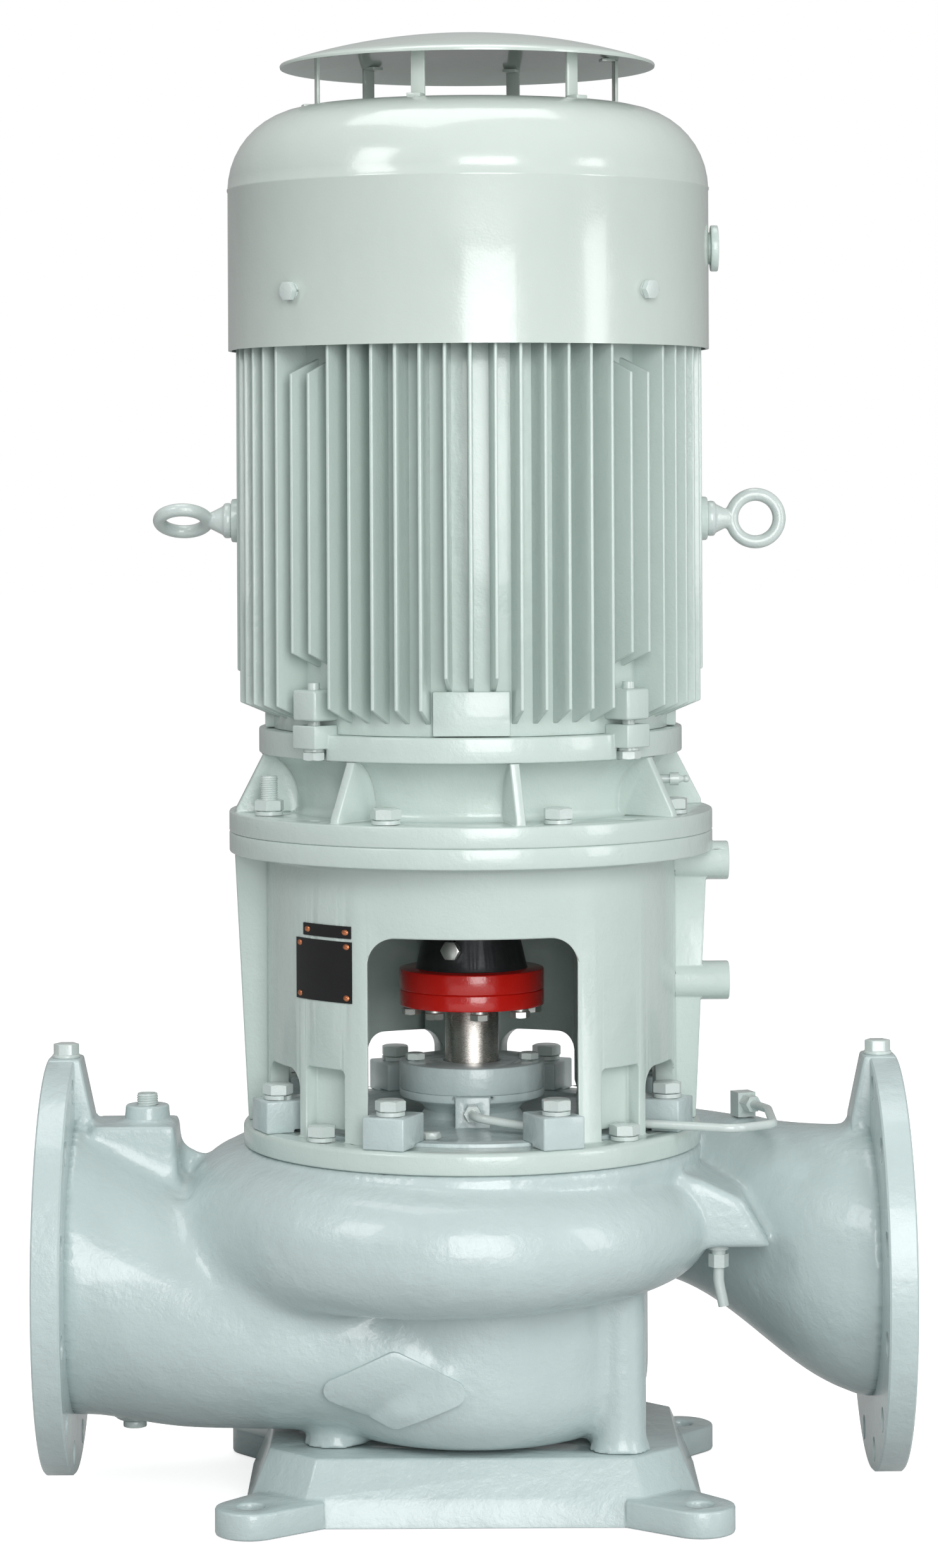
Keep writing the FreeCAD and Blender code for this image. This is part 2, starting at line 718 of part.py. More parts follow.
def make_drain():
    """Hex fitting under the discharge web and the short bent tube that leaves it."""
    collar_z, hex_z, tube_z = web_bottom_z - 4, web_bottom_z - 8, web_bottom_z - 20
    fitting = rod(drain_thread_radius, web_bottom_z - 1, web_bottom_z + 12, drain_x, drain_y)
    fitting = fitting.fuse(rod(9.5, collar_z, web_bottom_z, drain_x, drain_y))
    fitting = fitting.fuse(rod(6.5, hex_z, collar_z, drain_x, drain_y))
    fitting = fitting.fuse(hex_prism(16, tube_z, hex_z, drain_x, drain_y))
    save("drain_fitting", fitting.cut(rod(drain_bore_radius, 0, web_bottom_z + 40,
                                          drain_x, drain_y)))
    points = [vec(drain_x, drain_y, tube_z), vec(drain_x, drain_y, tube_z - 14),
              vec(drain_x + 4.5, drain_y - 1.5, tube_z - 36)]
    solid, _ = tube(points, drain_tube_radius, drain_tube_bend)
    bore, _ = tube(points, drain_bore_radius, drain_tube_bend)
    save("drain_tube", solid.cut(bore))


drain_tube_radius, drain_bore_radius, drain_tube_bend = 5.0, 3.2, 40.0


# Casing cover with the seal housing, its gasket and the casing wear ring
def make_cover():
    flange_z, spigot_z = casing_rim_z, casing_rim_z - cover_spigot_depth
    spigot_radius_out = cover_bore_radius - cover_fit
    neck, bore = housing_neck_radius, seal_room_radius
    profile = [(throat_radius, spigot_z), (spigot_radius_out, spigot_z),
               (spigot_radius_out, flange_z), (cover_flange_radius, flange_z),
               (cover_flange_radius, cover_flange_top_z), (160.0, cover_flange_top_z),
               (156.0, cover_plate_top_z), (neck + 12, cover_plate_top_z),
               (neck + 4, cover_plate_top_z + 3), (neck, cover_plate_top_z + 9),
               (neck + 5, cover_plate_top_z + 15), (housing_flange_radius - 8,
                                                    housing_flange_z),
               (housing_flange_radius, housing_flange_z + 3),
               (housing_flange_radius, housing_top_z), (bore, housing_top_z),
               (bore, cover_plate_top_z - 9), (throat_radius, cover_plate_top_z - 15)]
    cover = turned(profile)
    boss = block(-flush_boss_width / 2, flush_boss_width / 2, -flush_boss_reach, -neck,
                 cover_plate_top_z, housing_top_z - 1)
    cover = cover.fuse(boss)
    cover = cover.cut(rod_along(flush_thread_radius, vec(0, -flush_boss_reach - 1,
                                                         flush_height), along_y, 40))
    cover = cover.cut(rod(vent_plug_size / 2, cover_plate_top_z - 12, cover_plate_top_z + 1,
                          vent_plug_x, vent_plug_y))
    for x in (-gland_bolt_x, gland_bolt_x):
        cover = cover.cut(rod(gland_bolt_size / 2, housing_top_z - 9, housing_top_z + 1, x, 0))
    save("casing_cover", one(cover))
    save("cover_gasket", ring(gasket_outer_radius, gasket_inner_radius,
                              casing_rim_z - gasket_recess_depth, casing_rim_z))
    save("casing_wear_ring", ring(casing_ring_outer, casing_ring_inner, chamber_ceiling_z,
                                  chamber_ceiling_z + chamber_ceiling_thickness))


throat_radius = pump_shaft_radius + shaft_clearance
flush_thread_radius = 5.0
vent_plug_size = 10.0
gland_bolt_size = 10.0


# Lantern between pump and motor
def upright_opening(width, top, corner, azimuth):
    cut = rounded_slot(width / 2, casing_rim_z + lantern_foot_thickness, top, corner,
                       -lantern_outer_radius - 30, -lantern_outer_radius / 2)
    return turn(cut, azimuth)


def make_lantern():
    foot_top = casing_rim_z + lantern_foot_thickness
    flange_bottom = motor_face_z - motor_flange_thickness
    inner = lantern_outer_radius - lantern_wall
    body = turned([(lantern_foot_inner_radius, casing_rim_z),
                   (casing_rim_radius, casing_rim_z), (casing_rim_radius, foot_top - 3),
                   (casing_rim_radius - 3, foot_top), (lantern_outer_radius, foot_top),
                   (lantern_outer_radius, flange_bottom - 6),
                   (lantern_outer_radius + 6, flange_bottom),
                   (motor_flange_radius, flange_bottom), (motor_flange_radius, motor_face_z),
                   (spigot_radius, motor_face_z), (spigot_radius, motor_face_z - spigot_depth),
                   (inner, motor_face_z - spigot_depth - 3), (inner, foot_top + 14),
                   (lantern_foot_inner_radius, foot_top + 6)])
    for azimuth in pocket_azimuths():
        swell = rod(pocket_swell_radius, foot_top + 8, pocket_top_z + 12).common(
            block(-40, 40, -60, 60, 0, 999))
        swell.translate(front_point(lantern_outer_radius, azimuth, 0))
        swell = swell.common(rod(lantern_outer_radius - 1, foot_top, pocket_top_z + 30))
        body = body.fuse(swell)
    for side in (-1, 1):
        points = [(side * inner, foot_top + 1), (side * side_rib_foot_radius, foot_top),
                  (side * side_rib_top_radius, flange_bottom), (side * inner, flange_bottom)]
        body = body.fuse(prism_xz(points, -side_rib_thickness / 2, side_rib_thickness / 2)
                         .cut(rod(inner + 1, 0, 999)))
    for z in side_boss_heights:
        start = vec(inner + 4, 0, z)
        body = body.fuse(rod_along(side_boss_radius, start, along_x,
                                   side_boss_face_x - start.x))
    body = body.cut(rod(lantern_foot_inner_radius, casing_rim_z - 1, foot_top + 6))
    body = body.cut(upright_opening(window_width, window_top_z, window_corner, 0))
    for azimuth in clamp_azimuths():
        if 30 < azimuth < 330:
            body = body.cut(upright_opening(opening_width, opening_top_z, opening_corner,
                                            azimuth))
    for azimuth in pocket_azimuths():
        pocket = rounded_slot(pocket_width / 2, foot_top, pocket_top_z, 5.0,
                              -lantern_outer_radius - 30, -pocket_floor_radius)
        body = body.cut(turn(pocket, azimuth))
    for z in side_boss_heights:
        body = body.cut(rod_along(side_tap_radius, vec(side_boss_face_x - side_tap_depth, 0, z),
                                  along_x, side_tap_depth + 1))
    for azimuth in pocket_azimuths() + clamp_azimuths():
        place = front_point(lantern_bolt_circle_radius, azimuth, 0)
        body = body.cut(rod(lantern_bolt_size / 2 + 0.5, casing_rim_z - 1, foot_top + 1,
                            place.x, place.y))
    for i in range(motor_bolt_count):
        place = front_point(flange_bolt_circle_motor / 2, motor_bolt_phase + 45 * i, 0)
        body = body.cut(rod(motor_bolt_size / 2, flange_bottom - 1, motor_face_z + 1,
                            place.x, place.y))
    for plate in plates:
        for azimuth, z in rivet_places(*plate[1:]):
            body = body.cut(rivet_hole(azimuth, z))
    save("lantern", one(body))


side_tap_radius, side_tap_depth = 6.8, 26.0
motor_hole_radius = 9.25


def make_lantern_bolts():
    """Bolts in the pockets and, apart from them, the clamp blocks with their own bolts."""
    foot_top = casing_rim_z + lantern_foot_thickness
    reach = lantern_foot_thickness + lantern_bolt_depth - 2
    bolts = []
    for azimuth in pocket_azimuths():
        place = front_point(lantern_bolt_circle_radius, azimuth, 0)
        bolts.append(hex_bolt(lantern_bolt_size, foot_top, reach, place.x, place.y))
    save("lantern_bolts", *bolts)
    blocks, clamp_bolts = [], []
    step = cover_flange_top_z
    for azimuth in clamp_azimuths():
        half = clamp_width / 2
        top = foot_top + clamp_height
        piece = block(-half, half, -clamp_outer_radius, -clamp_inner_radius, foot_top, top)
        piece = piece.cut(block(-half - 1, half + 1, -clamp_step_radius,
                                -clamp_inner_radius + 1, foot_top - 1, step))
        piece = piece.cut(rod(lantern_bolt_size / 2 + 0.5, 0, 999, 0,
                              -lantern_bolt_circle_radius))
        blocks.append(turn(piece, azimuth))
        bolt = hex_bolt(lantern_bolt_size, top, reach + clamp_height, 0,
                        -lantern_bolt_circle_radius)
        clamp_bolts.append(turn(bolt, azimuth))
    save("clamp_blocks", *blocks)
    save("clamp_bolts", *clamp_bolts)


# Shaft seal and its gland
def make_seal():
    hole = gland_bolt_size / 2 + 0.5
    gland = ring(housing_flange_radius, throat_radius + 1, housing_top_z, gland_top_z)
    gland = gland.cut(rod(seal_seat_radius, housing_top_z - 1, housing_top_z + seal_seat_depth))
    bolts = []
    for x in (-gland_bolt_x, gland_bolt_x):
        gland = gland.cut(rod(hole, 0, 999, x, 0))
        bolts.append(hex_bolt(gland_bolt_size, gland_top_z, gland_top_z - housing_top_z + 8,
                              x, 0, False))
    save("seal_gland", gland)
    save("gland_bolts", *bolts)
    seat_bottom = housing_top_z - 6
    save("seal_fixed_ring", ring(seal_seat_radius - 0.2, throat_radius + 1.5, seat_bottom,
                                 housing_top_z + seal_seat_depth))
    head_top = seat_bottom - 0.3
    save("seal_rotating_head",
         ring(seal_seat_radius - 5, pump_shaft_radius, head_top - 5, head_top).fuse(
             ring(seal_seat_radius - 3, pump_shaft_radius, head_top - 26, head_top - 5)))


seal_seat_radius, seal_seat_depth = 38.0, 9.0


# Flush line from the seal housing to the discharge neck
flush_tube_radius, flush_bore_radius, flush_bend = 4.0, 2.8, 20.0
flush_start_y = -flush_boss_reach - 14.0
flush_run_z, elbow_run_z = 355.0, elbow_seat_z + 14.0
elbow_heading = FreeCAD.Vector(0.35, -0.9367, 0)
elbow_nut_reach = 25.0


def flush_route():
    """Corners of the flush line: through the opening at 67.5 degrees, beside the clamp."""
    beside = (opening_width + clamp_width) / 4
    outward = front_point(1.0, 67.5, 0)
    forward = vec(-math.cos(math.radians(67.5)), -math.sin(math.radians(67.5)), 0)
    inside = outward * 143 + forward * beside + up * flush_run_z
    outside = outward * 267 + forward * beside + up * flush_run_z
    elbow = vec(elbow_x, elbow_y, elbow_run_z)
    last = elbow + elbow_heading * elbow_nut_reach
    return [vec(0, flush_start_y, flush_height), vec(0, flush_start_y - 18, flush_height),
            vec(50, -112, flush_run_z), inside, outside, vec(274, -95, flush_run_z - 1),
            last + elbow_heading * 31, last]


def make_flush_line():
    route = flush_route()
    solid, length = tube(route, flush_tube_radius, flush_bend)
    bore, _ = tube(route, flush_bore_radius, flush_bend)
    save("flush_tube", solid.cut(bore))
    print("flush tube length", round(length, 1), "volume", round(solid.Volume),
          "section times length", round(math.pi * flush_tube_radius ** 2 * length))
    face = vec(0, -flush_boss_reach, flush_height)
    back = along_y * -1
    fitting = rod_along(flush_thread_radius, face + along_y * 12, back, 12)
    fitting = fitting.fuse(rod_along(7, face, back, 3))
    nut = hex_prism(14, 0, abs(flush_start_y) - flush_boss_reach - 3)
    nut.rotate(origin, along_x, 90)
    nut.translate(face + back * 3)
    fitting = fitting.fuse(nut)
    bore = rod_along(flush_bore_radius, face + along_y * 20, back, 60)
    fitting = fitting.cut(bore)
    half, top = 9.0, elbow_run_z + 9.0
    angle = math.degrees(math.atan2(elbow_heading.x, -elbow_heading.y))
    body = block(-half, half, -half, half, elbow_seat_z, top)
    nut = hex_prism(14, 0, elbow_nut_reach - half)
    nut.rotate(origin, along_x, 90)
    nut.translate(vec(0, -half, elbow_run_z))
    bore = rod_along(flush_bore_radius, vec(0, 0, elbow_run_z), back, 60)
    body = body.fuse(nut).cut(bore)
    body = body.fuse(rod(elbow_thread_radius, elbow_seat_z - elbow_thread_depth + 1,
                         elbow_seat_z))
    body = body.cut(rod(flush_bore_radius, 0, elbow_run_z))
    body.rotate(origin, up, angle)
    body.translate(vec(elbow_x, elbow_y, 0))
    save("flush_fittings", fitting, body)


# Rotor of the pump: shaft, impeller, nut, coupling
thread_radius, seat_radius = 15.0, 22.5
# radius and turn of the blade's inner end, middle and outer end
blade_course = ((62.0, 0.0), (112.0, 34.0), (impeller_radius - 0.5, 66.0))
nut_bottom_z, impeller_hub_bottom_z = 212.0, 234.0
coupling_bolt_size = 10.0
key_length = 42.0


def make_pump_shaft():
    bottom, top = nut_bottom_z + 5, coupling_joint_z - 1
    seat_z = coupling_joint_z - coupling_lower_thickness
    shaft = turned([(0, bottom), (thread_radius, bottom),
                    (thread_radius, impeller_hub_bottom_z),
                    (impeller_bore_radius, impeller_hub_bottom_z),
                    (impeller_bore_radius, impeller_hub_top_z),
                    (pump_shaft_radius, impeller_hub_top_z), (pump_shaft_radius, seat_z),
                    (seat_radius, seat_z), (seat_radius, top), (0, top)])
    key = impeller_key()
    save("pump_shaft", shaft.cut(key))
    nut = hex_prism(50, nut_bottom_z, impeller_hub_bottom_z)
    nut = nut.common(Part.makeCone(21, 32, impeller_hub_bottom_z - nut_bottom_z,
                                   vec(0, 0, nut_bottom_z), up))
    save("impeller_nut", nut.cut(rod(thread_radius, bottom, 999)))


def impeller_key():
    middle = (impeller_hub_bottom_z + impeller_hub_top_z) / 2
    return block(-5, 5, impeller_bore_radius - 4, impeller_bore_radius + 4,
                 middle - key_length / 2, middle + key_length / 2)


def impeller_blade():
    """Backward-curved blade of even thickness, as tall as the room between the shrouds."""
    low = volute_z - impeller_outlet_width / 2 - shroud_thickness + 1
    high = volute_z + impeller_outlet_width / 2 + 1
    half = blade_thickness / 2
    points = []
    for radius, degrees in blade_course:
        angle = math.radians(degrees)
        points.append(vec(radius * math.cos(angle), radius * math.sin(angle), low))
    centre = Part.Arc(*points).toShape().Curve.Center
    faces = []
    for shift in (-half, half):
        moved = []
        for point in points:
            away = (point - centre).normalize()
            moved.append(point + away * shift)
        faces.append(moved)
    front, back = faces
    edges = [Part.Arc(*front).toShape(), Part.LineSegment(front[2], back[2]).toShape(),
             Part.Arc(back[2], back[1], back[0]).toShape(),
             Part.LineSegment(back[0], front[0]).toShape()]
    blade = Part.Face(Part.Wire(edges)).extrude(vec(0, 0, high - low))
    return blade.common(rod(impeller_radius, low - 1, high + 1))


def make_impeller():
    half = impeller_outlet_width / 2
    front_top, back_bottom = volute_z - half, volute_z + half
    eye, skirt = impeller_eye_radius, impeller_eye_radius + impeller_skirt_wall
    back_top = back_bottom + shroud_thickness
    back = turned([(impeller_bore_radius, impeller_hub_bottom_z),
                   (30, impeller_hub_bottom_z), (impeller_hub_radius, back_bottom - 16),
                   (impeller_hub_radius + 16, back_bottom), (impeller_radius, back_bottom),
                   (impeller_radius, back_top), (impeller_hub_radius, back_top),
                   (impeller_hub_radius, impeller_hub_top_z),
                   (impeller_bore_radius, impeller_hub_top_z)])
    ceiling_top = chamber_ceiling_z + chamber_ceiling_thickness
    front = turned([(eye, impeller_skirt_bottom_z), (skirt, impeller_skirt_bottom_z),
                    (skirt, ceiling_top + 3), (skirt + 13, front_top - shroud_thickness),
                    (impeller_radius, front_top - shroud_thickness),
                    (impeller_radius, front_top), (skirt + 11, front_top - 0.5),
                    (eye + 4, front_top - 4), (eye, front_top - 10)])
    impeller = back.fuse(front)
    for blade in around(impeller_blade(), blade_count):
        impeller = impeller.fuse(blade)
    impeller = impeller.cut(impeller_key())
    save("impeller", one(impeller))


def make_coupling():
    low, joint = coupling_joint_z - coupling_lower_thickness, coupling_joint_z
    flange_top = joint + coupling_upper_thickness
    lower = ring(coupling_radius, seat_radius, low, joint)
    upper = turned([(motor_shaft_radius, joint), (coupling_radius, joint),
                    (coupling_radius, flange_top), (coupling_hub_foot_radius, flange_top),
                    (coupling_hub_radius, flange_top + 40),
                    (coupling_hub_radius, coupling_hub_top_z),
                    (motor_shaft_radius, coupling_hub_top_z)])
    reach = coupling_lower_thickness + coupling_upper_thickness - 5
    bolts = []
    for i in range(8):
        place = front_point(coupling_bolt_circle_radius, coupling_bolt_phase + 45 * i, 0)
        lower = lower.cut(rod(coupling_bolt_size / 2 + 0.4, low - 1, joint + 1,
                              place.x, place.y))
        upper = upper.cut(rod(coupling_bolt_size / 2, joint - 1, joint + reach
                              - coupling_lower_thickness + 1, place.x, place.y))
        bolt = hex_bolt(coupling_bolt_size, 0, reach, place.x, place.y)
        bolt.rotate(vec(place.x, place.y, 0), along_x, 180)
        bolt.translate(vec(0, 0, low))
        bolts.append(bolt)
    upper = upper.cut(motor_key())
    screw_hole = rod_along(set_screw_size / 2, origin, along_y * -1, coupling_radius)
    screw_hole.translate(vec(0, 0, set_screw_z))
    near = turn(screw_hole, set_screw_azimuth)
    near = near.cut(rod(motor_shaft_radius, 0, 999))
    upper = upper.cut(near)
    save("coupling_lower_half", lower)
    save("coupling_upper_half", upper)
    save("coupling_bolts", *bolts)
    seat = coupling_hub_foot_radius - 3.0
    screw = hex_bolt(set_screw_size, 0, seat - motor_shaft_radius)
    screw.rotate(origin, along_x, 90)
    screw.translate(vec(0, -seat, set_screw_z))
    save("coupling_set_screw", turn(screw, set_screw_azimuth))


set_screw_size = 10.0
motor_key_bottom_z, motor_key_top_z = 500.0, 588.0


def motor_key():
    return block(-9, 9, motor_shaft_radius - 7, motor_shaft_radius + 4,
                 motor_key_bottom_z, motor_key_top_z)


# Motor: drive-end shield, finned frame, upper shield
def motor_lugs(radius_in, bottom, top):
    half = lug_width / 2
    lug = block(-half, half, -lug_radius_out, -radius_in, bottom, top)
    lug = lug.cut(rod(lug_bolt_size / 2 + 0.5, bottom - 1, top + 1, 0, -lug_bolt_radius))
    return around(lug, 4, 45)


def gusset():
    """Triangular rib from the motor flange up to the bowl."""
    flange_top = motor_face_z + motor_flange_thickness
    tip = motor_flange_radius - 4
    half = gusset_thickness / 2
    points = [(-tip, flange_top), (-tip, flange_top + 4),
              (-shield_bowl_top_radius - 5, shield_band_bottom_z + 2),
              (-shield_bowl_foot_radius + 6, shield_band_bottom_z + 2),
              (-shield_bowl_foot_radius + 6, flange_top)]
    rib = prism_xz(points, -half, half)
    rib.rotate(origin, up, 90)
    return rib


def make_drive_end_shield():
    flange_top = motor_face_z + motor_flange_thickness
    foot, bowl = shield_bowl_foot_radius, shield_bowl_top_radius
    low = motor_face_z - spigot_depth + 0.5
    bearing_low = lower_bearing_z - bearing_width / 2
    shaft_hole = motor_shaft_radius + 1.5
    band = shield_band_bottom_z
    body = revolved([(shaft_hole, low), (spigot_radius - 0.2, low),
                     (spigot_radius - 0.2, motor_face_z), (motor_flange_radius, motor_face_z),
                     (motor_flange_radius, flange_top), (foot + 8, flange_top),
                     (foot + 2, flange_top + 2, foot, flange_top + 8),
                     (foot, flange_top + 14), (foot + 7, band - 17, bowl, band),
                     (shield_band_radius, band), (shield_band_radius, frame_bottom_z),
                     (bowl - 9, frame_bottom_z), (bowl - 11, band + 6),
                     (foot - 8, band - 16, foot - 14, flange_top + 12),
                     (foot - 14, flange_top + 4), (bearing_outer_radius + 18, flange_top + 4),
                     (bearing_outer_radius + 14, bearing_low + bearing_width + 4),
                     (bearing_outer_radius, bearing_low + bearing_width + 4),
                     (bearing_outer_radius, bearing_low),
                     (bearing_outer_radius - 10, bearing_low),
                     (bearing_outer_radius - 10, bearing_low - 5),
                     (shaft_hole, bearing_low - 5)])
    for rib in around(gusset(), gusset_count, gusset_phase):
        body = body.fuse(rib)
    for lug in motor_lugs(bowl - 4, shield_lug_bottom_z, shield_lug_top_z):
        body = body.fuse(lug)
    for i in range(motor_bolt_count):
        place = front_point(flange_bolt_circle_motor / 2, motor_bolt_phase + 45 * i, 0)
        body = body.cut(rod(motor_hole_radius, motor_face_z - 1, flange_top + 1,
                            place.x, place.y))
        body = body.cut(rod(motor_bolt_size * 1.1, flange_top, flange_top + 24,
                            place.x, place.y))
    body = body.cut(rod_along(nipple_hole_radius, vec(foot - 6, 0, grease_nipple_z), along_x,
                              40))
    for azimuth in pocket_azimuths():
        place = front_point(lug_bolt_radius, azimuth, 0)
        body = body.cut(rod(lug_bolt_size / 2 + 0.5, 0, 999, place.x, place.y))
        body = body.cut(rod(lug_bolt_size, shield_lug_bottom_z - 20, shield_lug_bottom_z,
                            place.x, place.y))
    save("drive_end_shield", one(body))
    start = vec(foot - 4, 0, grease_nipple_z)
    nipple = rod_along(nipple_hole_radius, start, along_x, 26)
    nipple = nipple.fuse(rod_along(6.0, start + along_x * 26, along_x, 8))
    nipple = nipple.fuse(Part.makeCone(4.0, 2.5, 5, start + along_x * 34, along_x))
    nipple = nipple.fuse(Part.makeSphere(3.4, start + along_x * 41))
    save("grease_nipple", nipple)
    bolts = []
    for azimuth in pocket_azimuths():
        bolt = hex_bolt(lug_bolt_size, 0, frame_lug_top_z - shield_lug_bottom_z + 6)
        bolt.rotate(origin, along_x, 180)
        place = front_point(lug_bolt_radius, azimuth, shield_lug_bottom_z)
        bolt.translate(place)
        bolts.append(bolt)
    save("shield_bolts", *bolts)


lug_bolt_size = 12.0
motor_bolt_size = 16.0
nipple_hole_radius, grease_nipple_z = 4.0, 662.0
long_stud_azimuth, long_stud_top_z = 292.5, 672.0


def make_motor_flange_bolts():
    """Bolts screwed down into the lantern's tapped flange, and one stud with its nut."""
    flange_top = motor_face_z + motor_flange_thickness
    reach = 2 * motor_flange_thickness - 1
    bolts = []
    for i in range(motor_bolt_count):
        azimuth = motor_bolt_phase + 45 * i
        place = front_point(flange_bolt_circle_motor / 2, azimuth, 0)
        bolt = hex_bolt(motor_bolt_size, flange_top, reach, place.x, place.y)
        if azimuth == long_stud_azimuth:
            stud = rod(motor_bolt_size / 2, flange_top - reach, long_stud_top_z,
                       place.x, place.y)
            save("motor_flange_stud", stud)
            save("motor_flange_nut", bolt.cut(rod(motor_bolt_size / 2, 0, 999,
                                                  place.x, place.y)))
        else:
            bolts.append(bolt)
    save("motor_flange_bolts", *bolts)


def fin(offset, bottom, top, chamfer_top=False):
    """Upright cooling fin, parallel to its quadrant's middle, with a chamfered lower end."""
    outer = math.sqrt(fin_outer_radius ** 2 - offset ** 2)
    inner = math.sqrt((motor_root_radius - 2) ** 2 - offset ** 2)
    cut_back = min(fin_chamfer_depth, (outer - inner) * 0.8)
    points = [(inner, bottom), (outer - cut_back, bottom),
              (outer, bottom + fin_chamfer_height)]
    if chamfer_top:
        points += [(outer, top - fin_chamfer_height), (outer - cut_back, top)]
    else:
        points.append((outer, top))
    points.append((inner, top))
    plate = prism_xz([(-r, z) for r, z in points], -fin_thickness / 2, fin_thickness / 2)
    plate.rotate(origin, up, 90)
    plate.translate(vec(offset, 0, 0))
    return plate


def quadrant_fins(front_or_back):
    fins = []
    for i in range(-fins_each_side, fins_each_side + 1):
        bottom = fin_bottom_z
        if front_or_back and abs(i) <= 1:
            bottom = blank_pad_top_z - 1
        if abs(i) == fins_each_side:
            bottom = corner_fin_bottom_z
        fins.append(fin(i * fin_pitch, bottom, fin_top_z))
    for side in (-1, 1):
        fins.append(fin(side * corner_fin_offset, corner_fin_bottom_z, corner_fin_top_z, True))
    return fins


corner_fin_offset, corner_fin_bottom_z, corner_fin_top_z = 155.0, 772.0, 1052.0


def make_motor_frame():
    body = rod(motor_root_radius, frame_bottom_z, frame_top_z)
    for quarter in range(4):
        for piece in quadrant_fins(quarter % 2 == 0):
            body = body.fuse(turn(piece, 90 * quarter))
    for lug in motor_lugs(motor_root_radius - 6, frame_lug_bottom_z, frame_lug_top_z):
        body = body.fuse(lug)
    pad = block(-blank_pad_half_width, blank_pad_half_width, -blank_pad_reach, 0,
                frame_lug_bottom_z, blank_pad_top_z)
    body = body.fuse(pad)
    for side in (-1, 1):
        start = vec(side * (motor_root_radius - 8), 0, eyebolt_z)
        body = body.fuse(Part.makeCone(eye_boss_radius + 4, eye_boss_radius,
                                       eye_boss_face - motor_root_radius + 8, start,
                                       along_x * side))
    body = body.fuse(block(-box_pad_half_width, box_pad_half_width, 0, box_front_y,
                           box_pad_bottom_z, box_pad_top_z))
    body = body.cut(rod(motor_bore_radius, frame_bottom_z - 1, frame_top_z + 1))
    body = body.cut(rod_along(cable_hole_radius, vec(0, 100, box_middle_z), along_y, 200))
    for side in (-1, 1):
        start = vec(side * (eye_boss_face - 24), 0, eyebolt_z)
        body = body.cut(rod_along(eye_shank_radius, start, along_x * side, 60))
    for azimuth in (0, 90, 180, 270):
        place = front_point(upper_bolt_circle_radius, azimuth, 0)
        body = body.cut(rod(upper_bolt_size / 2, frame_top_z - 18, frame_top_z + 1,
                            place.x, place.y))
    save("motor_frame", body)


blank_pad_reach = 190.0
cable_hole_radius = 25.0
box_middle_z = (box_bottom_z + box_top_z) / 2
eye_shank_radius = 10.0


def eyebolt(side, lean):
    """Lifting eye with its collar seated on the boss; `lean` turns the ring about its shank."""
    face = vec(eye_boss_face, 0, eyebolt_z)
    body = rod_along(eye_shank_radius, face - along_x * 22, along_x, 22)
    body = body.fuse(rod_along(16.5, face, along_x, 7))
    body = body.fuse(Part.makeCone(14, 7.5, 13, face + along_x * 7, along_x))
    body = body.fuse(Part.makeTorus(eye_mean_radius, eye_wire_radius,
                                    vec(eye_ring_x, 0, eyebolt_z), along_y))
    body.rotate(face, along_x, lean)
    if side < 0:
        body = body.mirror(origin, along_x)
    return body


def make_eyebolts():
    save("eyebolt_right", eyebolt(1, 0))
    save("eyebolt_left", eyebolt(-1, 62))


def make_upper_shield():
    low = upper_bearing_z - bearing_width / 2
    high = low + bearing_width
    body = turned([(bearing_outer_radius, low - 3), (bearing_outer_radius + 16, low - 3),
                   (bearing_outer_radius + 20, frame_top_z - 4),
                   (motor_bore_radius - 0.2, frame_top_z - 4),
                   (motor_bore_radius - 0.2, frame_top_z), (motor_root_radius, frame_top_z),
                   (motor_root_radius, frame_top_z + 10), (upper_hole_radius,
                                                           frame_top_z + 10),
                   (upper_hole_radius, high + 4), (bearing_outer_radius - 10, high + 4),
                   (bearing_outer_radius - 10, high), (bearing_outer_radius, high)])
    half = lug_width / 2
    inside = cover_radius - cover_sheet
    for lug in around(block(-half, half, -inside - 5, -motor_root_radius + 20, frame_top_z,
                            cover_screw_z + 12), 4, 45):
        lug = lug.common(rod(inside, 0, 9999))
        body = body.fuse(lug)
    bolts = []
    for azimuth in (0, 90, 180, 270):
        place = front_point(upper_bolt_circle_radius, azimuth, 0)
        body = body.cut(rod(upper_bolt_size / 2 + 0.4, frame_top_z - 1, frame_top_z + 11,
                            place.x, place.y))
        bolts.append(hex_bolt(upper_bolt_size, frame_top_z + 10, 26, place.x, place.y))
    for azimuth in pocket_azimuths():
        hole = rod_along(cover_screw_size / 2, vec(0, -cover_radius + 26, cover_screw_z),
                         along_y * -1, 60)
        body = body.cut(turn(hole, azimuth))
    save("upper_end_shield", one(body))
    save("upper_shield_bolts", *bolts)


upper_hole_radius = 30.0
upper_bolt_size, cover_screw_size = 10.0, 10.0
upper_bolt_circle_radius = 175.0


# Inside the motor
def bearing(middle):
    """Deep-groove ball bearing: outer ring, inner ring and balls held in their cage."""
    half = bearing_width / 2
    pitch = (bearing_outer_radius + bearing_seat_radius) / 2
    track = Part.makeTorus(pitch, ball_radius + ball_clearance, vec(0, 0, middle), up)
    outer = ring(bearing_outer_radius, pitch + ball_radius * 0.7, middle - half, middle + half)
    inner = ring(pitch - ball_radius * 0.7, bearing_seat_radius, middle - half, middle + half)
    cage = ring(pitch + 1.5, pitch - 1.5, middle - 7, middle + 7)
    for ball in around(Part.makeSphere(ball_radius, vec(pitch, 0, middle)), ball_count):
        cage = cage.fuse(ball)
    return outer.cut(track), inner.cut(track), cage


def make_bearings():
    lower, upper = bearing(lower_bearing_z), bearing(upper_bearing_z)
    save("bearing_outer_rings", lower[0], upper[0])
    save("bearing_inner_rings", lower[1], upper[1])
    save("bearing_balls", lower[2], upper[2])


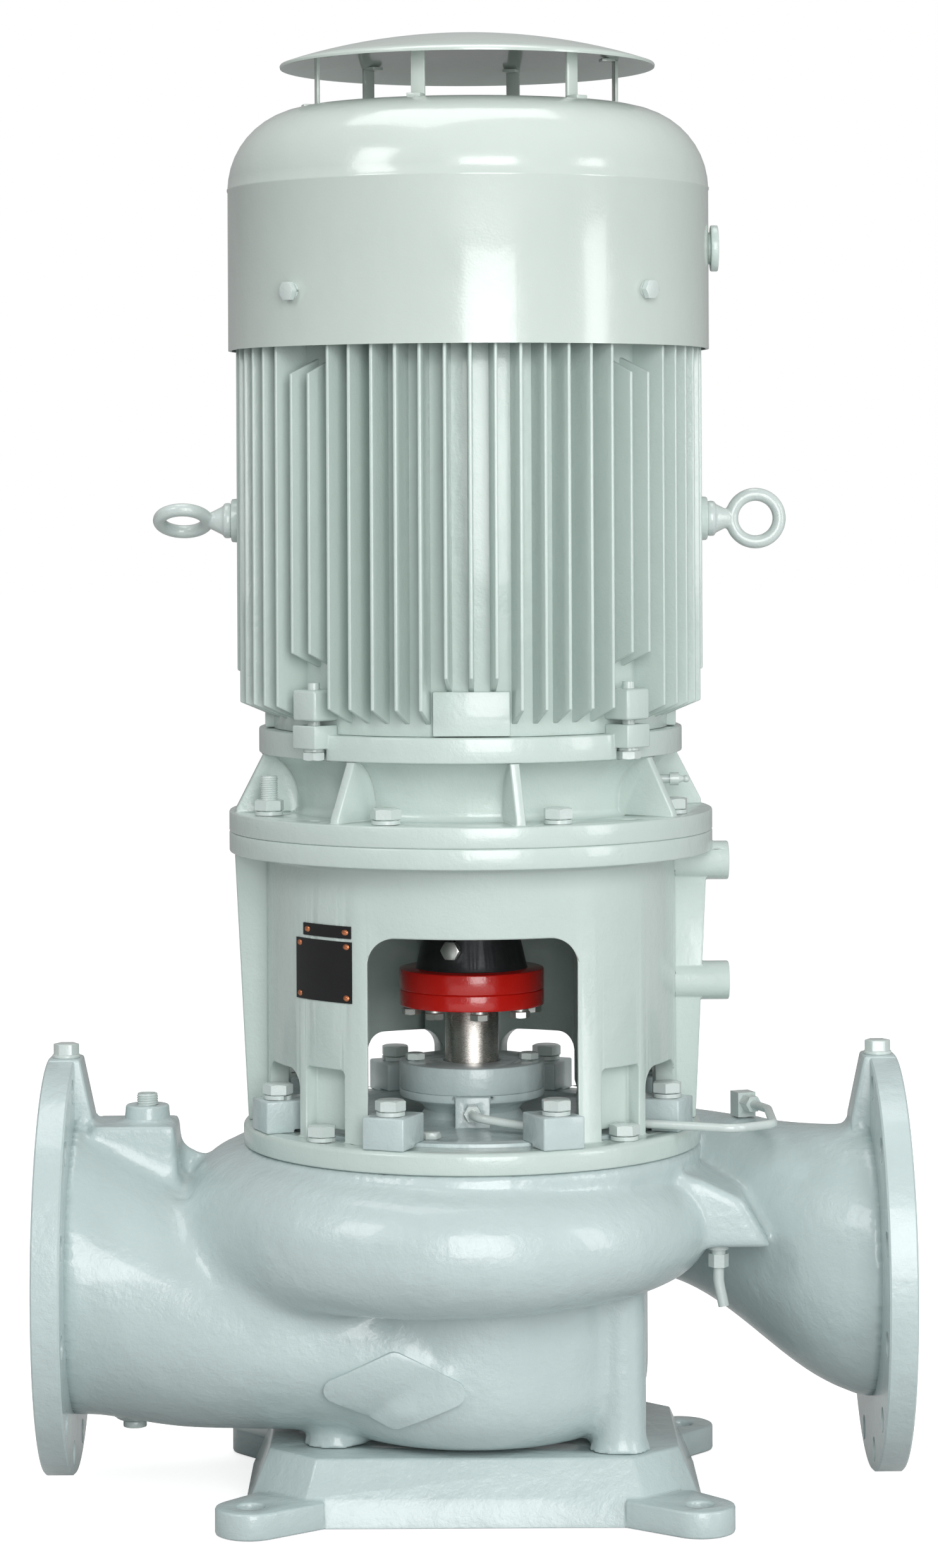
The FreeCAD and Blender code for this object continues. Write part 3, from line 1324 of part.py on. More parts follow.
ball_radius, ball_clearance, ball_count = 11.0, 0.3, 8


def make_motor_inside():
    low = coupling_joint_z + 9
    half = bearing_width / 2
    seat, step = bearing_seat_radius, bearing_seat_radius + 6
    fan_seat_z = upper_bearing_z + half
    shaft = turned([(0, low), (motor_shaft_radius - 2, low), (motor_shaft_radius, low + 2),
                    (motor_shaft_radius, lower_bearing_z - half),
                    (seat, lower_bearing_z - half), (seat, lower_bearing_z + half),
                    (step, lower_bearing_z + half), (step, upper_bearing_z - half),
                    (seat, upper_bearing_z - half), (seat, fan_seat_z),
                    (fan_seat_radius + 2.4, fan_seat_z), (fan_seat_radius + 2.4, fan_bottom_z),
                    (fan_seat_radius, fan_bottom_z), (fan_seat_radius, fan_hub_top_z + 6),
                    (0, fan_hub_top_z + 6)])
    save("motor_shaft", shaft.cut(motor_key()))
    save("shaft_keys", impeller_key(), motor_key())
    core = ring(rotor_radius, step, core_bottom_z, core_top_z)
    ends = [ring(rotor_radius - 3, rotor_radius - 26, core_bottom_z - 15, core_bottom_z),
            ring(rotor_radius - 3, rotor_radius - 26, core_top_z, core_top_z + 15)]
    save("rotor_core", core.fuse(ends[0]).fuse(ends[1]))
    bore = rotor_radius + air_gap
    save("stator_core", ring(motor_bore_radius, bore, core_bottom_z, core_top_z))
    windings = []
    for bottom, top in ((core_bottom_z - winding_overhang, core_bottom_z),
                        (core_top_z, core_top_z + winding_overhang)):
        windings.append(ring(motor_bore_radius - 12, bore + 6, bottom, top))
    save("stator_windings", *windings)


fan_seat_radius, fan_hub_top_z = 27.0, 1176.0


def make_cooling_fan():
    """Two-way fan: a disc with flat radial blades on a keyed hub."""
    fan = ring(fan_seat_radius + 18, fan_seat_radius, fan_bottom_z, fan_hub_top_z)
    fan = fan.fuse(ring(fan_radius, fan_seat_radius, fan_bottom_z, fan_bottom_z + 4))
    blade = prism_xz([(fan_seat_radius + 14, fan_bottom_z + 2), (fan_radius, fan_bottom_z + 2),
                      (fan_radius, fan_bottom_z + fan_blade_height - 12),
                      (fan_radius - 22, fan_bottom_z + fan_blade_height),
                      (fan_seat_radius + 14, fan_bottom_z + fan_blade_height - 8)], -2, 2)
    for piece in around(blade, fan_blade_count):
        fan = fan.fuse(piece)
    save("cooling_fan", fan)


# Fan cover, grille, canopy
def cover_outline(inset):
    """Upper outline of the fan cover, from its skirt to the edge of the inlet."""
    radius, shoulder = cover_radius - inset, cover_shoulder - inset
    centre_r, centre_z = cover_radius - cover_shoulder, cover_side_top_z
    end, middle = math.radians(80), math.radians(40)
    return [(radius, cover_bottom_z), (radius, cover_side_top_z),
            (centre_r + shoulder * math.cos(middle), centre_z + shoulder * math.sin(middle),
             centre_r + shoulder * math.cos(end), centre_z + shoulder * math.sin(end)),
            (inlet_radius, cover_top_z - inset)]


def make_fan_cover():
    outside = revolved(cover_outline(0.0) + [(0, cover_top_z), (0, cover_bottom_z)])
    inside = revolved(cover_outline(cover_sheet) + [(0, cover_top_z - cover_sheet),
                                                    (0, cover_bottom_z)])
    cover = outside.cut(inside).cut(rod(inlet_radius, cover_top_z - 30, cover_top_z + 1))
    screws = []
    for azimuth in pocket_azimuths():
        hole = rod_along(cover_screw_size / 2 + 0.4, vec(0, 0, cover_screw_z), along_y * -1, 300)
        hole = hole.cut(rod(motor_root_radius, 0, 9999))
        cover = cover.cut(turn(hole, azimuth))
        screw = hex_bolt(cover_screw_size, 0, 20)
        screw.rotate(origin, along_x, 90)
        screw.translate(vec(0, -cover_radius, cover_screw_z))
        screws.append(turn(screw, azimuth))
    save("fan_cover", cover)
    save("fan_cover_screws", *screws)
    neck = rod_along(access_neck_radius, vec(cover_radius - 20, 0, access_cap_z), along_x, 23)
    neck = neck.cut(rod(cover_radius, 0, 9999))
    save("access_cap", neck.fuse(rod_along(access_cap_radius, vec(cover_radius + 2, 0,
                                                                   access_cap_z), along_x, 7)))
    grille = ring(inlet_radius, inlet_radius - 5, cover_top_z - 6, cover_top_z)
    low, high = cover_top_z - 5, cover_top_z - 2
    half = grille_wire / 2
    for i in range(grille_ring_count):
        radius = grille_pitch * (i + 1)
        grille = grille.fuse(ring(radius + half, radius - half, low, high))
    reach = inlet_radius - 2
    for bar in around(block(-half, half, -reach, reach, low, high), grille_bar_count):
        grille = grille.fuse(bar)
    save("inlet_grille", grille)
    save("rain_canopy", canopy_shell())
    straps = []
    room = revolved([(0, cover_top_z), (inlet_radius, cover_top_z)]
                    + [cover_outline(0.0)[2][-2:]] + [(inlet_radius + 90, cover_side_top_z),
                                                      (0, cover_side_top_z)])
    sky = revolved(canopy_under() + [(0, canopy_top_z + 20)])
    half = strap_width / 2
    for azimuth in [strap_phase + 360.0 / strap_count * i for i in range(strap_count)]:
        web = block(-half, half, -strap_radius - strap_sheet / 2,
                    -strap_radius + strap_sheet / 2, cover_top_z - 12, canopy_top_z)
        foot = block(-half, half, -strap_radius - 14, -strap_radius, cover_top_z - 12,
                     cover_top_z + strap_sheet - 1)
        head = block(-half, half, -strap_radius, -strap_radius + 14, canopy_top_z - 26,
                     canopy_top_z)
        strap = web.fuse(foot).fuse(head).cut(room).cut(sky)
        straps.append(turn(strap, azimuth))
    save("canopy_straps", *straps)


grille_ring_count, grille_pitch, grille_wire, grille_bar_count = 5, 20.0, 3.0, 3
access_neck_radius = 15.0


def canopy_sphere():
    """Radius of the domed sheet whose height is the rise from rim to top."""
    rise = canopy_top_z - canopy_rim_z - canopy_sheet
    return (canopy_radius ** 2 + rise ** 2) / (2 * rise)


def canopy_height(r):
    sphere = canopy_sphere()
    return canopy_top_z - sphere + math.sqrt(sphere ** 2 - r ** 2)


def canopy_under():
    half, edge = canopy_radius / 2, canopy_radius
    return [(0, canopy_top_z - canopy_sheet),
            (half, canopy_height(half) - canopy_sheet, edge, canopy_height(edge)
             - canopy_sheet), (edge, canopy_top_z + 20)]


def canopy_shell():
    half, edge = canopy_radius / 2, canopy_radius
    return revolved([(0, canopy_top_z - canopy_sheet),
                     (half, canopy_height(half) - canopy_sheet, edge, canopy_height(edge)
                      - canopy_sheet), (edge, canopy_height(edge)),
                     (half, canopy_height(half), 0, canopy_top_z)])


# Terminal box on the back of the motor
def make_terminal_box():
    front, back, half = box_front_y, box_back_y, box_half_width
    lid_back = back + box_lid_thickness
    box = block(-half, half, front, back, box_bottom_z, box_top_z)
    corners = [edge for edge in box.Edges if abs(edge.tangentAt(0).y) > 0.99]
    box = box.makeFillet(box_corner, corners)
    room = block(-half + box_wall, half - box_wall, front + box_wall, back + 1,
                 box_bottom_z + box_wall, box_top_z - box_wall)
    box = box.cut(room)
    box = box.cut(rod_along(cable_hole_radius, vec(0, front - 1, box_middle_z), along_y, 20))
    box = box.cut(rod(gland_thread_radius, box_bottom_z - 1, box_bottom_z + box_wall + 1, 0,
                      gland_y))
    lid = block(-half, half, back, lid_back, box_bottom_z, box_top_z)
    lid = lid.makeFillet(box_corner, [edge for edge in lid.Edges
                                      if abs(edge.tangentAt(0).y) > 0.99])
    screws = []
    for x in (-half + box_corner, half - box_corner):
        for z in (box_bottom_z + box_corner, box_top_z - box_corner):
            post = rod_along(9, vec(x, front + 3, z), along_y, back - front - 3)
            box = box.fuse(post)
            hole = rod_along(lid_screw_size / 2, vec(x, back - 14, z), along_y, 40)
            box, lid = box.cut(hole), lid.cut(hole)
            screw = hex_bolt(lid_screw_size, 0, box_lid_thickness + 12, washer=False)
            screw.rotate(origin, along_x, -90)
            screw.translate(vec(x, lid_back, z))
            screws.append(screw)
    save("terminal_box", box)
    save("terminal_box_lid", lid)
    save("lid_screws", *screws)
    gland = rod(gland_thread_radius, box_bottom_z, box_bottom_z + box_wall + 6, 0, gland_y)
    nut_top = box_bottom_z - gland_collar
    nut_bottom = nut_top - gland_nut
    gland = gland.fuse(hex_prism(gland_collar_flats, nut_top, box_bottom_z, 0, gland_y))
    nut = hex_prism(gland_nut_flats, nut_bottom, nut_top, 0, gland_y)
    dome = Part.makeCone(18, 26, gland_nut, vec(0, gland_y, nut_bottom), up)
    gland = gland.fuse(nut.common(dome))
    save("cable_gland", gland.cut(rod(gland_bore_radius, 0, 9999, 0, gland_y)))


box_corner = 14.0
lid_screw_size = 8.0
gland_y = 256.0
gland_thread_radius, gland_bore_radius = 20.0, 11.0
gland_collar, gland_nut = 12.0, 22.0
gland_collar_flats, gland_nut_flats = 46.0, 40.0


# Bare plates on the lantern, each held by rivets
def rivet_places(width, low, high, rows):
    """Azimuth and height of each rivet of one plate."""
    levels = [low + rivet_inset, high - rivet_inset] if rows == 2 else [(low + high) / 2]
    reach = math.degrees((width / 2 - rivet_inset) / lantern_outer_radius)
    return [(plate_azimuth + side * reach, z) for z in levels for side in (-1, 1)]


def rivet_hole(azimuth, z):
    start = vec(0, rivet_depth - lantern_outer_radius, z)
    return turn(rod_along(rivet_radius, start, along_y * -1, rivet_depth + 5), azimuth)


def rivet(azimuth, z):
    seat = vec(0, -lantern_outer_radius - plate_sheet, z)
    shank = rod_along(rivet_radius, seat + along_y * (rivet_depth + plate_sheet),
                      along_y * -1, rivet_depth + plate_sheet)
    head = Part.makeCone(rivet_radius * 1.8, rivet_radius, rivet_radius * 0.8, seat,
                         along_y * -1)
    return turn(shank.fuse(head), azimuth)


def make_plates():
    inside, outside = lantern_outer_radius, lantern_outer_radius + plate_sheet
    rivets = []
    for name, width, low, high, rows in plates:
        plate = ring(outside, inside, low, high).common(
            block(-width / 2, width / 2, -outside, -inside / 2, low, high))
        plate = turn(plate, plate_azimuth)
        for azimuth, z in rivet_places(width, low, high, rows):
            plate = plate.cut(rivet_hole(azimuth, z))
            rivets.append(rivet(azimuth, z))
        save(name, plate)
    save("plate_rivets", *rivets)


plates = (("nameplate", nameplate_width, nameplate_bottom_z, nameplate_top_z, 2),
          ("arrow_plate", arrow_plate_width, arrow_plate_bottom_z, arrow_plate_top_z, 1))


rivet_radius, rivet_depth, rivet_inset = 1.5, 5.0, 4.5

make_base()
make_casing_screws()
make_casing()
make_plugs()
make_gauge_nipple()
make_drain()
make_cover()
make_lantern()
make_lantern_bolts()
make_seal()
make_flush_line()
make_pump_shaft()
make_impeller()
make_coupling()
make_drive_end_shield()
make_motor_flange_bolts()
make_motor_frame()
make_eyebolts()
make_upper_shield()
make_bearings()
make_motor_inside()
make_cooling_fan()
make_fan_cover()
make_terminal_box()
make_plates()
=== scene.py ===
import bpy
import bmesh
import json
import math
from mathutils import Matrix, Vector

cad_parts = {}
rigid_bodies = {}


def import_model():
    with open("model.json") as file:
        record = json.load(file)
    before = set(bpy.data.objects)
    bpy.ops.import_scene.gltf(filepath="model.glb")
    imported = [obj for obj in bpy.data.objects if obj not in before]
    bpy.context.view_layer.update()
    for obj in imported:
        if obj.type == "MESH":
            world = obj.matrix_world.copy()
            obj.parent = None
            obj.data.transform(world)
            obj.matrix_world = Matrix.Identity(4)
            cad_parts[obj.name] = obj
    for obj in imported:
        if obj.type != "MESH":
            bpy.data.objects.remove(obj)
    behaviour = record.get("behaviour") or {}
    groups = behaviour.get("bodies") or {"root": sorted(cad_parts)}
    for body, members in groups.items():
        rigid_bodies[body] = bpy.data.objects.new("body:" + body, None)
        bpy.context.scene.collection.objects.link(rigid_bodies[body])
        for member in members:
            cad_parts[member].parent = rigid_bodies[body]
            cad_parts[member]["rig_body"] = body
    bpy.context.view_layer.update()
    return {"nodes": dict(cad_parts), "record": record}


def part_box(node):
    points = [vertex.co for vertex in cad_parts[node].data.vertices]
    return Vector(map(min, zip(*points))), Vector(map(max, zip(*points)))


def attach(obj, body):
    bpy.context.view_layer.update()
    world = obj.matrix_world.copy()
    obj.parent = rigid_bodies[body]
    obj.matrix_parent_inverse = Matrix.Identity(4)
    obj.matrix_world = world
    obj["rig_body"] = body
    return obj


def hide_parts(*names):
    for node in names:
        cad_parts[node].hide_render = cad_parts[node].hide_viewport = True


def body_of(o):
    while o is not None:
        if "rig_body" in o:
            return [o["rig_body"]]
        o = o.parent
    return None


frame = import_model()
nodes = frame["nodes"]
print("frame loaded:", len(nodes), "nodes")


def newObject(name, data):
    thing = bpy.data.objects.new(name, data)
    bpy.context.scene.collection.objects.link(thing)
    return thing


# Camera: level, behind the photograph's own height of eye, with the frame shifted down
cameraSet = {
    "distance": 3.894,  # from the shaft's axis
    "height": 0.946,
    "side": -0.0225,
    "focal": 6600.0,  # in pixels of the photograph
    "frameHigh": 2482.0,
    "horizonRow": 753.0,
    "vanishColumn": 704.0,
    "frameWide": 1484.0,
    "roll": 0.28,
    "sensor": 36.0,
}


def makeCamera(values):
    data = bpy.data.cameras.new("photoCamera")
    data.sensor_fit = "VERTICAL"
    data.sensor_height = values["sensor"]
    data.sensor_width = values["sensor"]
    data.lens = values["focal"] / values["frameHigh"] * values["sensor"]
    data.shift_y = (values["horizonRow"] - values["frameHigh"] / 2) / values["frameHigh"]
    data.shift_x = (values["frameWide"] / 2 - values["vanishColumn"]) / values["frameHigh"]
    data.clip_start, data.clip_end = 0.1, 60.0
    camera = newObject("photoCamera", data)
    camera.location = (values["side"], -values["distance"], values["height"])
    camera.rotation_euler = (math.radians(90), math.radians(values["roll"]), 0)
    bpy.context.scene.camera = camera


makeCamera(cameraSet)


# Shader helpers
def newMaterial(name, metallic=0.0, coat=0.0, coatRoughness=0.1):
    material = bpy.data.materials.new(name)
    material.use_nodes = True
    shader = material.node_tree.nodes["Principled BSDF"]
    shader.inputs["Metallic"].default_value = metallic
    shader.inputs["Coat Weight"].default_value = coat
    shader.inputs["Coat Roughness"].default_value = coatRoughness
    return material, shader


def addNode(tree, kind, **settings):
    node = tree.nodes.new(kind)
    for key, value in settings.items():
        if key in node.inputs:
            node.inputs[key].default_value = value
        else:
            setattr(node, key, value)
    return node


def linear(red, green, blue):  # from the 0 to 255 values that a picture shows
    out = []
    for value in (red, green, blue):
        share = value / 255
        out.append(share / 12.92 if share <= 0.04045 else ((share + 0.055) / 1.055) ** 2.4)
    return (*out, 1.0)


def mathOf(tree, operation, *values):  # each value is a number or another node's output
    node = addNode(tree, "ShaderNodeMath", operation=operation)
    for i, value in enumerate(values):
        if isinstance(value, float):
            node.inputs[i].default_value = value
        else:
            tree.links.new(value, node.inputs[i])
    return node.outputs[0]


def noiseOf(tree, place, scale, detail, roughness):
    noise = addNode(tree, "ShaderNodeTexNoise", Scale=scale, Detail=detail, Roughness=roughness)
    tree.links.new(place, noise.inputs["Vector"])
    return noise.outputs["Fac"]


def newGroup(name, inputs):
    group = bpy.data.node_groups.new(name, "ShaderNodeTree")
    kinds = {"float": "NodeSocketFloat", "color": "NodeSocketColor", "vector": "NodeSocketVector"}
    for label, kind, value in inputs:
        socket = group.interface.new_socket(label, in_out="INPUT", socket_type=kinds[kind])
        socket.default_value = value
    for label, kind in (("Colour", "color"), ("Roughness", "float"), ("Normal", "vector")):
        group.interface.new_socket(label, in_out="OUTPUT", socket_type=kinds[kind])
    return group, group.nodes.new("NodeGroupInput"), group.nodes.new("NodeGroupOutput")


# What both groups do with their noises
def driftColour(group, given, result, noise, low, high, amount):  # lighter and darker by a noise
    shade = addNode(group, "ShaderNodeMapRange", **{
        "From Min": low, "From Max": high, "To Min": -0.5, "To Max": 0.5})
    group.links.new(noise, shade.inputs["Value"])
    level = mathOf(group, "MULTIPLY_ADD", shade.outputs["Result"], given.outputs[amount], 1.0)
    tone = addNode(group, "ShaderNodeHueSaturation")
    group.links.new(given.outputs["Colour"], tone.inputs["Color"])
    group.links.new(level, tone.inputs["Value"])
    group.links.new(tone.outputs["Color"], result.inputs["Colour"])


def dullBy(group, given, result, noise, share):  # rougher by a share of a noise
    rough = mathOf(group, "MULTIPLY_ADD", noise, share, given.outputs["Gloss"])
    group.links.new(rough, result.inputs["Roughness"])


def bumpBy(group, given, result, layers):  # noise, name of its strength, depth in metres
    previous = None
    for noise, strength, depth in layers:
        bump = addNode(group, "ShaderNodeBump", Distance=depth)
        group.links.new(given.outputs[strength], bump.inputs["Strength"])
        group.links.new(noise, bump.inputs["Height"])
        if previous:
            group.links.new(previous.outputs["Normal"], bump.inputs["Normal"])
        previous = bump
    group.links.new(previous.outputs["Normal"], result.inputs["Normal"])


# Sprayed and brushed paint over a casting: colour drift, dull patches, pits and orange peel
def makePaintGroup():
    group, given, result = newGroup(
        "paintOverCasting",
        [("Colour", "color", (0.5, 0.5, 0.5, 1)), ("Drift", "float", 0.1),
         ("Gloss", "float", 0.25), ("Pits", "float", 0.3), ("Peel", "float", 0.2),
         ("Waves", "float", 0.2)])
    place = group.nodes.new("ShaderNodeTexCoord").outputs["Object"]
    wide = noiseOf(group, place, 9.0, 3.0, 0.55)
    streak = group.nodes.new("ShaderNodeMapping")  # runs and brush marks are drawn out upright
    streak.inputs["Scale"].default_value = (1.0, 1.0, 0.22)
    group.links.new(place, streak.inputs["Vector"])
    runs = noiseOf(group, streak.outputs["Vector"], 60.0, 4.0, 0.6)
    both = mathOf(group, "MULTIPLY_ADD", runs, 0.35, wide)
    driftColour(group, given, result, both, 0.35, 1.0, "Drift")
    dullBy(group, given, result, wide, 0.10)
    bumpBy(group, given, result, [
        (noiseOf(group, place, 26.0, 2.0, 0.5), "Waves", 0.006),
        (noiseOf(group, place, 170.0, 5.0, 0.62), "Pits", 0.0016),
        (noiseOf(group, place, 420.0, 2.0, 0.5), "Peel", 0.0006)])
    return group


# Bare metal: fine noise, drawn out along one direction where it is turned or brushed
def makeMetalGroup():
    group, given, result = newGroup(
        "bareMetal",
        [("Colour", "color", (0.5, 0.5, 0.5, 1)), ("Stain", "float", 0.2),
         ("Gloss", "float", 0.25), ("Grain", "float", 0.2), ("Stretch", "vector", (1, 1, 1))])
    place = group.nodes.new("ShaderNodeTexCoord").outputs["Object"]
    spots = noiseOf(group, place, 45.0, 5.0, 0.65)
    scaled = addNode(group, "ShaderNodeVectorMath", operation="MULTIPLY")
    group.links.new(place, scaled.inputs[0])
    group.links.new(given.outputs["Stretch"], scaled.inputs[1])
    grain = noiseOf(group, scaled.outputs[0], 300.0, 4.0, 0.6)
    driftColour(group, given, result, spots, 0.3, 0.7, "Stain")
    dullBy(group, given, result, grain, 0.25)
    bumpBy(group, given, result, [(grain, "Grain", 0.0004)])
    return group


paintGroup = makePaintGroup()
metalGroup = makeMetalGroup()


def placeGroup(material, shader, group, values):
    tree = material.node_tree
    used = tree.nodes.new("ShaderNodeGroup")
    used.node_tree = group
    for label, value in values.items():
        used.inputs[label].default_value = value
    for label, socket in (("Colour", "Base Color"), ("Roughness", "Roughness"),
                          ("Normal", "Normal")):
        tree.links.new(used.outputs[label], shader.inputs[socket])


paintSet = {  # colour as the picture shows it, drift, gloss, pits, peel, waves
    "pumpPaint": (linear(183, 198, 198), 0.10, 0.20, 0.45, 0.25, 0.35),
    "motorPaint": (linear(191, 205, 200), 0.05, 0.20, 0.30, 0.25, 0.20),
    "sheetPaint": (linear(194, 205, 199), 0.05, 0.14, 0.06, 0.15, 0.10),
    # the bolts' paint is the casing's grey paint made lighter, a painted highlight for the bright
    # glints on bolt heads
    "boltPaint": (linear(196, 207, 204), 0.16, 0.18, 0.25, 0.30, 0.10),
    "redPaint": (linear(196, 24, 16), 0.20, 0.16, 0.20, 0.20, 0.10),
}
metalSet = {  # metallic, colour, stain, gloss, grain, stretch
    "zincSteel": (0.9, linear(196, 198, 194), 0.25, 0.20, 0.25, (1, 1, 1)),
    "shaftSteel": (1.0, linear(188, 184, 178), 0.30, 0.14, 0.35, (1, 1, 14)),
    "hubSteel": (0.8, linear(74, 76, 78), 0.40, 0.30, 0.30, (1, 1, 6)),
    "blackPlate": (0.3, linear(20, 20, 22), 0.30, 0.22, 0.10, (1, 1, 1)),
    "copperRivet": (0.9, linear(190, 120, 84), 0.40, 0.25, 0.10, (1, 1, 1)),
    "bronze": (0.9, linear(176, 138, 86), 0.30, 0.28, 0.35, (1, 1, 1)),
    "coreIron": (0.5, linear(84, 86, 88), 0.30, 0.40, 0.30, (1, 1, 1)),
    "copperWire": (0.6, linear(172, 92, 50), 0.30, 0.30, 0.50, (1, 1, 1)),
    "gasketSheet": (0.0, linear(52, 54, 54), 0.20, 0.60, 0.30, (1, 1, 1)),
    "fanPlastic": (0.0, linear(44, 44, 46), 0.15, 0.45, 0.20, (1, 1, 1)),
    "sealCarbon": (0.0, linear(34, 34, 36), 0.15, 0.30, 0.10, (1, 1, 1)),
}
coatSet = {"coat": 0.35, "coatRoughness": 0.08}  # the clear gloss over all paint


def makeMaterials():
    made = {}
    for name, values in paintSet.items():
        made[name], shader = newMaterial(name, **coatSet)
        labels = ("Colour", "Drift", "Gloss", "Pits", "Peel", "Waves")
        placeGroup(made[name], shader, paintGroup, dict(zip(labels, values)))
    for name, (metallic, *values) in metalSet.items():
        made[name], shader = newMaterial(name, metallic=metallic)
        labels = ("Colour", "Stain", "Gloss", "Grain", "Stretch")
        placeGroup(made[name], shader, metalGroup, dict(zip(labels, values)))
    return made


finish = makeMaterials()

slotFinish = {  # the record's slots and what each is painted or made of here
    "pump_paint": "pumpPaint", "motor_paint": "motorPaint", "red_paint": "redPaint",
    "hub_steel": "hubSteel", "plain_steel": "boltPaint", "zinc_steel": "boltPaint",
    "shaft_steel": "shaftSteel", "copper_tube": "boltPaint", "bronze": "bronze",
    "windings": "copperWire", "core_iron": "coreIron", "black_plate": "blackPlate",
    "copper_rivet": "copperRivet", "gasket": "gasketSheet", "fan_plastic": "fanPlastic",
    "carbon": "sealCarbon",
}
nodeFinish = {
    "fan_cover": "sheetPaint", "rain_canopy": "sheetPaint", "canopy_straps": "sheetPaint",
    "coupling_bolts": "zincSteel", "coupling_set_screw": "zincSteel",
    "casing_cover": "pumpPaint", "seal_gland": "pumpPaint", "clamp_blocks": "pumpPaint",
    "lantern": "motorPaint", "drive_end_shield": "motorPaint",
}
slots = {entry["node"]: entry["material_slot"] for entry in frame["record"]["subparts"]}


def paintOf(node):
    return nodeFinish.get(node, slotFinish[slots[node]])


def dressNodes():
    for name, node in nodes.items():
        node.data.materials.clear()
        node.data.materials.append(finish[paintOf(name)])


dressNodes()
print("materials:", len(finish))


# Mesh helpers
def ended(work, name, outwards=True):  # a finished bmesh as an object
    if outwards:
        bmesh.ops.recalc_face_normals(work, faces=work.faces)
    mesh = bpy.data.meshes.new(name)
    work.to_mesh(mesh)
    work.free()
    return newObject(name, mesh)


def bridge(work, low, high):  # faces between two rings, either of which may be one point
    count = max(len(low), len(high))
    for i in range(count):
        j = (i + 1) % count
        corners = (low[i % len(low)], low[j % len(low)], high[j % len(high)],
                   high[i % len(high)])
        work.faces.new(list(dict.fromkeys(corners)))


def bridgeAll(work, rings):
    for low, high in zip(rings, rings[1:]):
        bridge(work, low, high)


def levelRing(work, radius, height, steps):
    return [work.verts.new((radius * math.cos(2 * math.pi * i / steps),
                            radius * math.sin(2 * math.pi * i / steps), height))
            for i in range(steps)]


def settle(thing):  # its modifiers worked into a new mesh
    depsgraph = bpy.context.evaluated_depsgraph_get()
    mesh = bpy.data.meshes.new_from_object(thing.evaluated_get(depsgraph))
    mesh.name = thing.name
    thing.data = mesh
    thing.modifiers.clear()


def shadeByAngle(thing, degrees=35):
    for face in thing.data.polygons:
        face.use_smooth = True
    thing.data.set_sharp_from_angle(angle=math.radians(degrees))


def bevelled(thing, width, segments=2, angle=32, clamp=False):
    if width:
        bevel = thing.modifiers.new("edges", "BEVEL")
        bevel.limit_method = "ANGLE"
        bevel.angle_limit = math.radians(angle)
        bevel.width = width
        bevel.segments = segments
        bevel.use_clamp_overlap = clamp
        settle(thing)
    shadeByAngle(thing)
    return thing


def mergedCopy(node, name):
    mesh = nodes[node].data.copy()
    work = bmesh.new()
    work.from_mesh(mesh)
    bmesh.ops.remove_doubles(work, verts=work.verts, dist=1e-6)
    bmesh.ops.dissolve_limit(work, angle_limit=math.radians(0.4), verts=work.verts,
                             edges=work.edges)
    work.to_mesh(mesh)
    work.free()
    mesh.materials.clear()
    return newObject(name, mesh)


def joined(name, things):  # several pieces as one mesh
    work = bmesh.new()
    for thing in things:
        work.from_mesh(thing.data)
    whole = ended(work, name, False)
    for thing in things:
        bpy.data.objects.remove(thing)
    return whole


def lathe(name, profile, steps, closed=True):  # profile of (radius, height) corners
    work = bmesh.new()
    rings = []
    for radius, height in profile:
        if radius < 1e-6:
            rings.append([work.verts.new((0, 0, height))])
        else:
            rings.append(levelRing(work, radius, height, steps))
    bridgeAll(work, rings)
    if closed:
        bridge(work, rings[-1], rings[0])
    return ended(work, name)


def slab(name, low, high, width, segments=2):
    work = bmesh.new()
    bmesh.ops.create_cube(work, size=1.0)
    size = Vector(high) - Vector(low)
    middle = (Vector(high) + Vector(low)) / 2
    work.transform(Matrix.Translation(middle) @ Matrix.Diagonal((*size, 1.0)))
    return bevelled(ended(work, name, False), width, segments)


def moved(thing, *steps):  # the place goes into the mesh
    for step in steps:
        thing.data.transform(step)
    return thing


def spun(degrees, axis="Z"):
    return Matrix.Rotation(math.radians(degrees), 4, axis)


def shifted(x, y, z):
    return Matrix.Translation((x, y, z))


def bodyOf(node):
    found = body_of(nodes[node])
    return found if isinstance(found, str) else list(found)[0]


def handOver(thing, *replaced, paint=None):  # the finished piece takes its nodes' place
    if paint:
        thing.data.materials.clear()
        thing.data.materials.append(finish[paint])
    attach(thing, bodyOf(replaced[0]))
    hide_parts(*replaced)


# Geometry Nodes: a piece repeated round the shaft
def newTree(name, wanted):  # a modifier's tree, its named inputs and their identifiers
    tree = bpy.data.node_groups.new(name, "GeometryNodeTree")
    tree.is_modifier = True
    tree.interface.new_socket("Geometry", in_out="OUTPUT", socket_type="NodeSocketGeometry")
    names = {}
    for label, kind, value in wanted:
        socket = tree.interface.new_socket(label, in_out="INPUT", socket_type="NodeSocket" + kind)
        if value is not None:
            socket.default_value = value
        names[label] = socket.identifier
    return tree, names, tree.nodes.new("NodeGroupInput").outputs


def pieceOf(tree, given):
    piece = tree.nodes.new("GeometryNodeObjectInfo")
    tree.links.new(given["Piece"], piece.inputs["Object"])
    return piece.outputs["Geometry"]


def evenTurn(tree, index, count, first):  # degrees of each of the copies round the shaft
    return mathOf(tree, "MULTIPLY_ADD", index, mathOf(tree, "DIVIDE", 360.0, count), first)


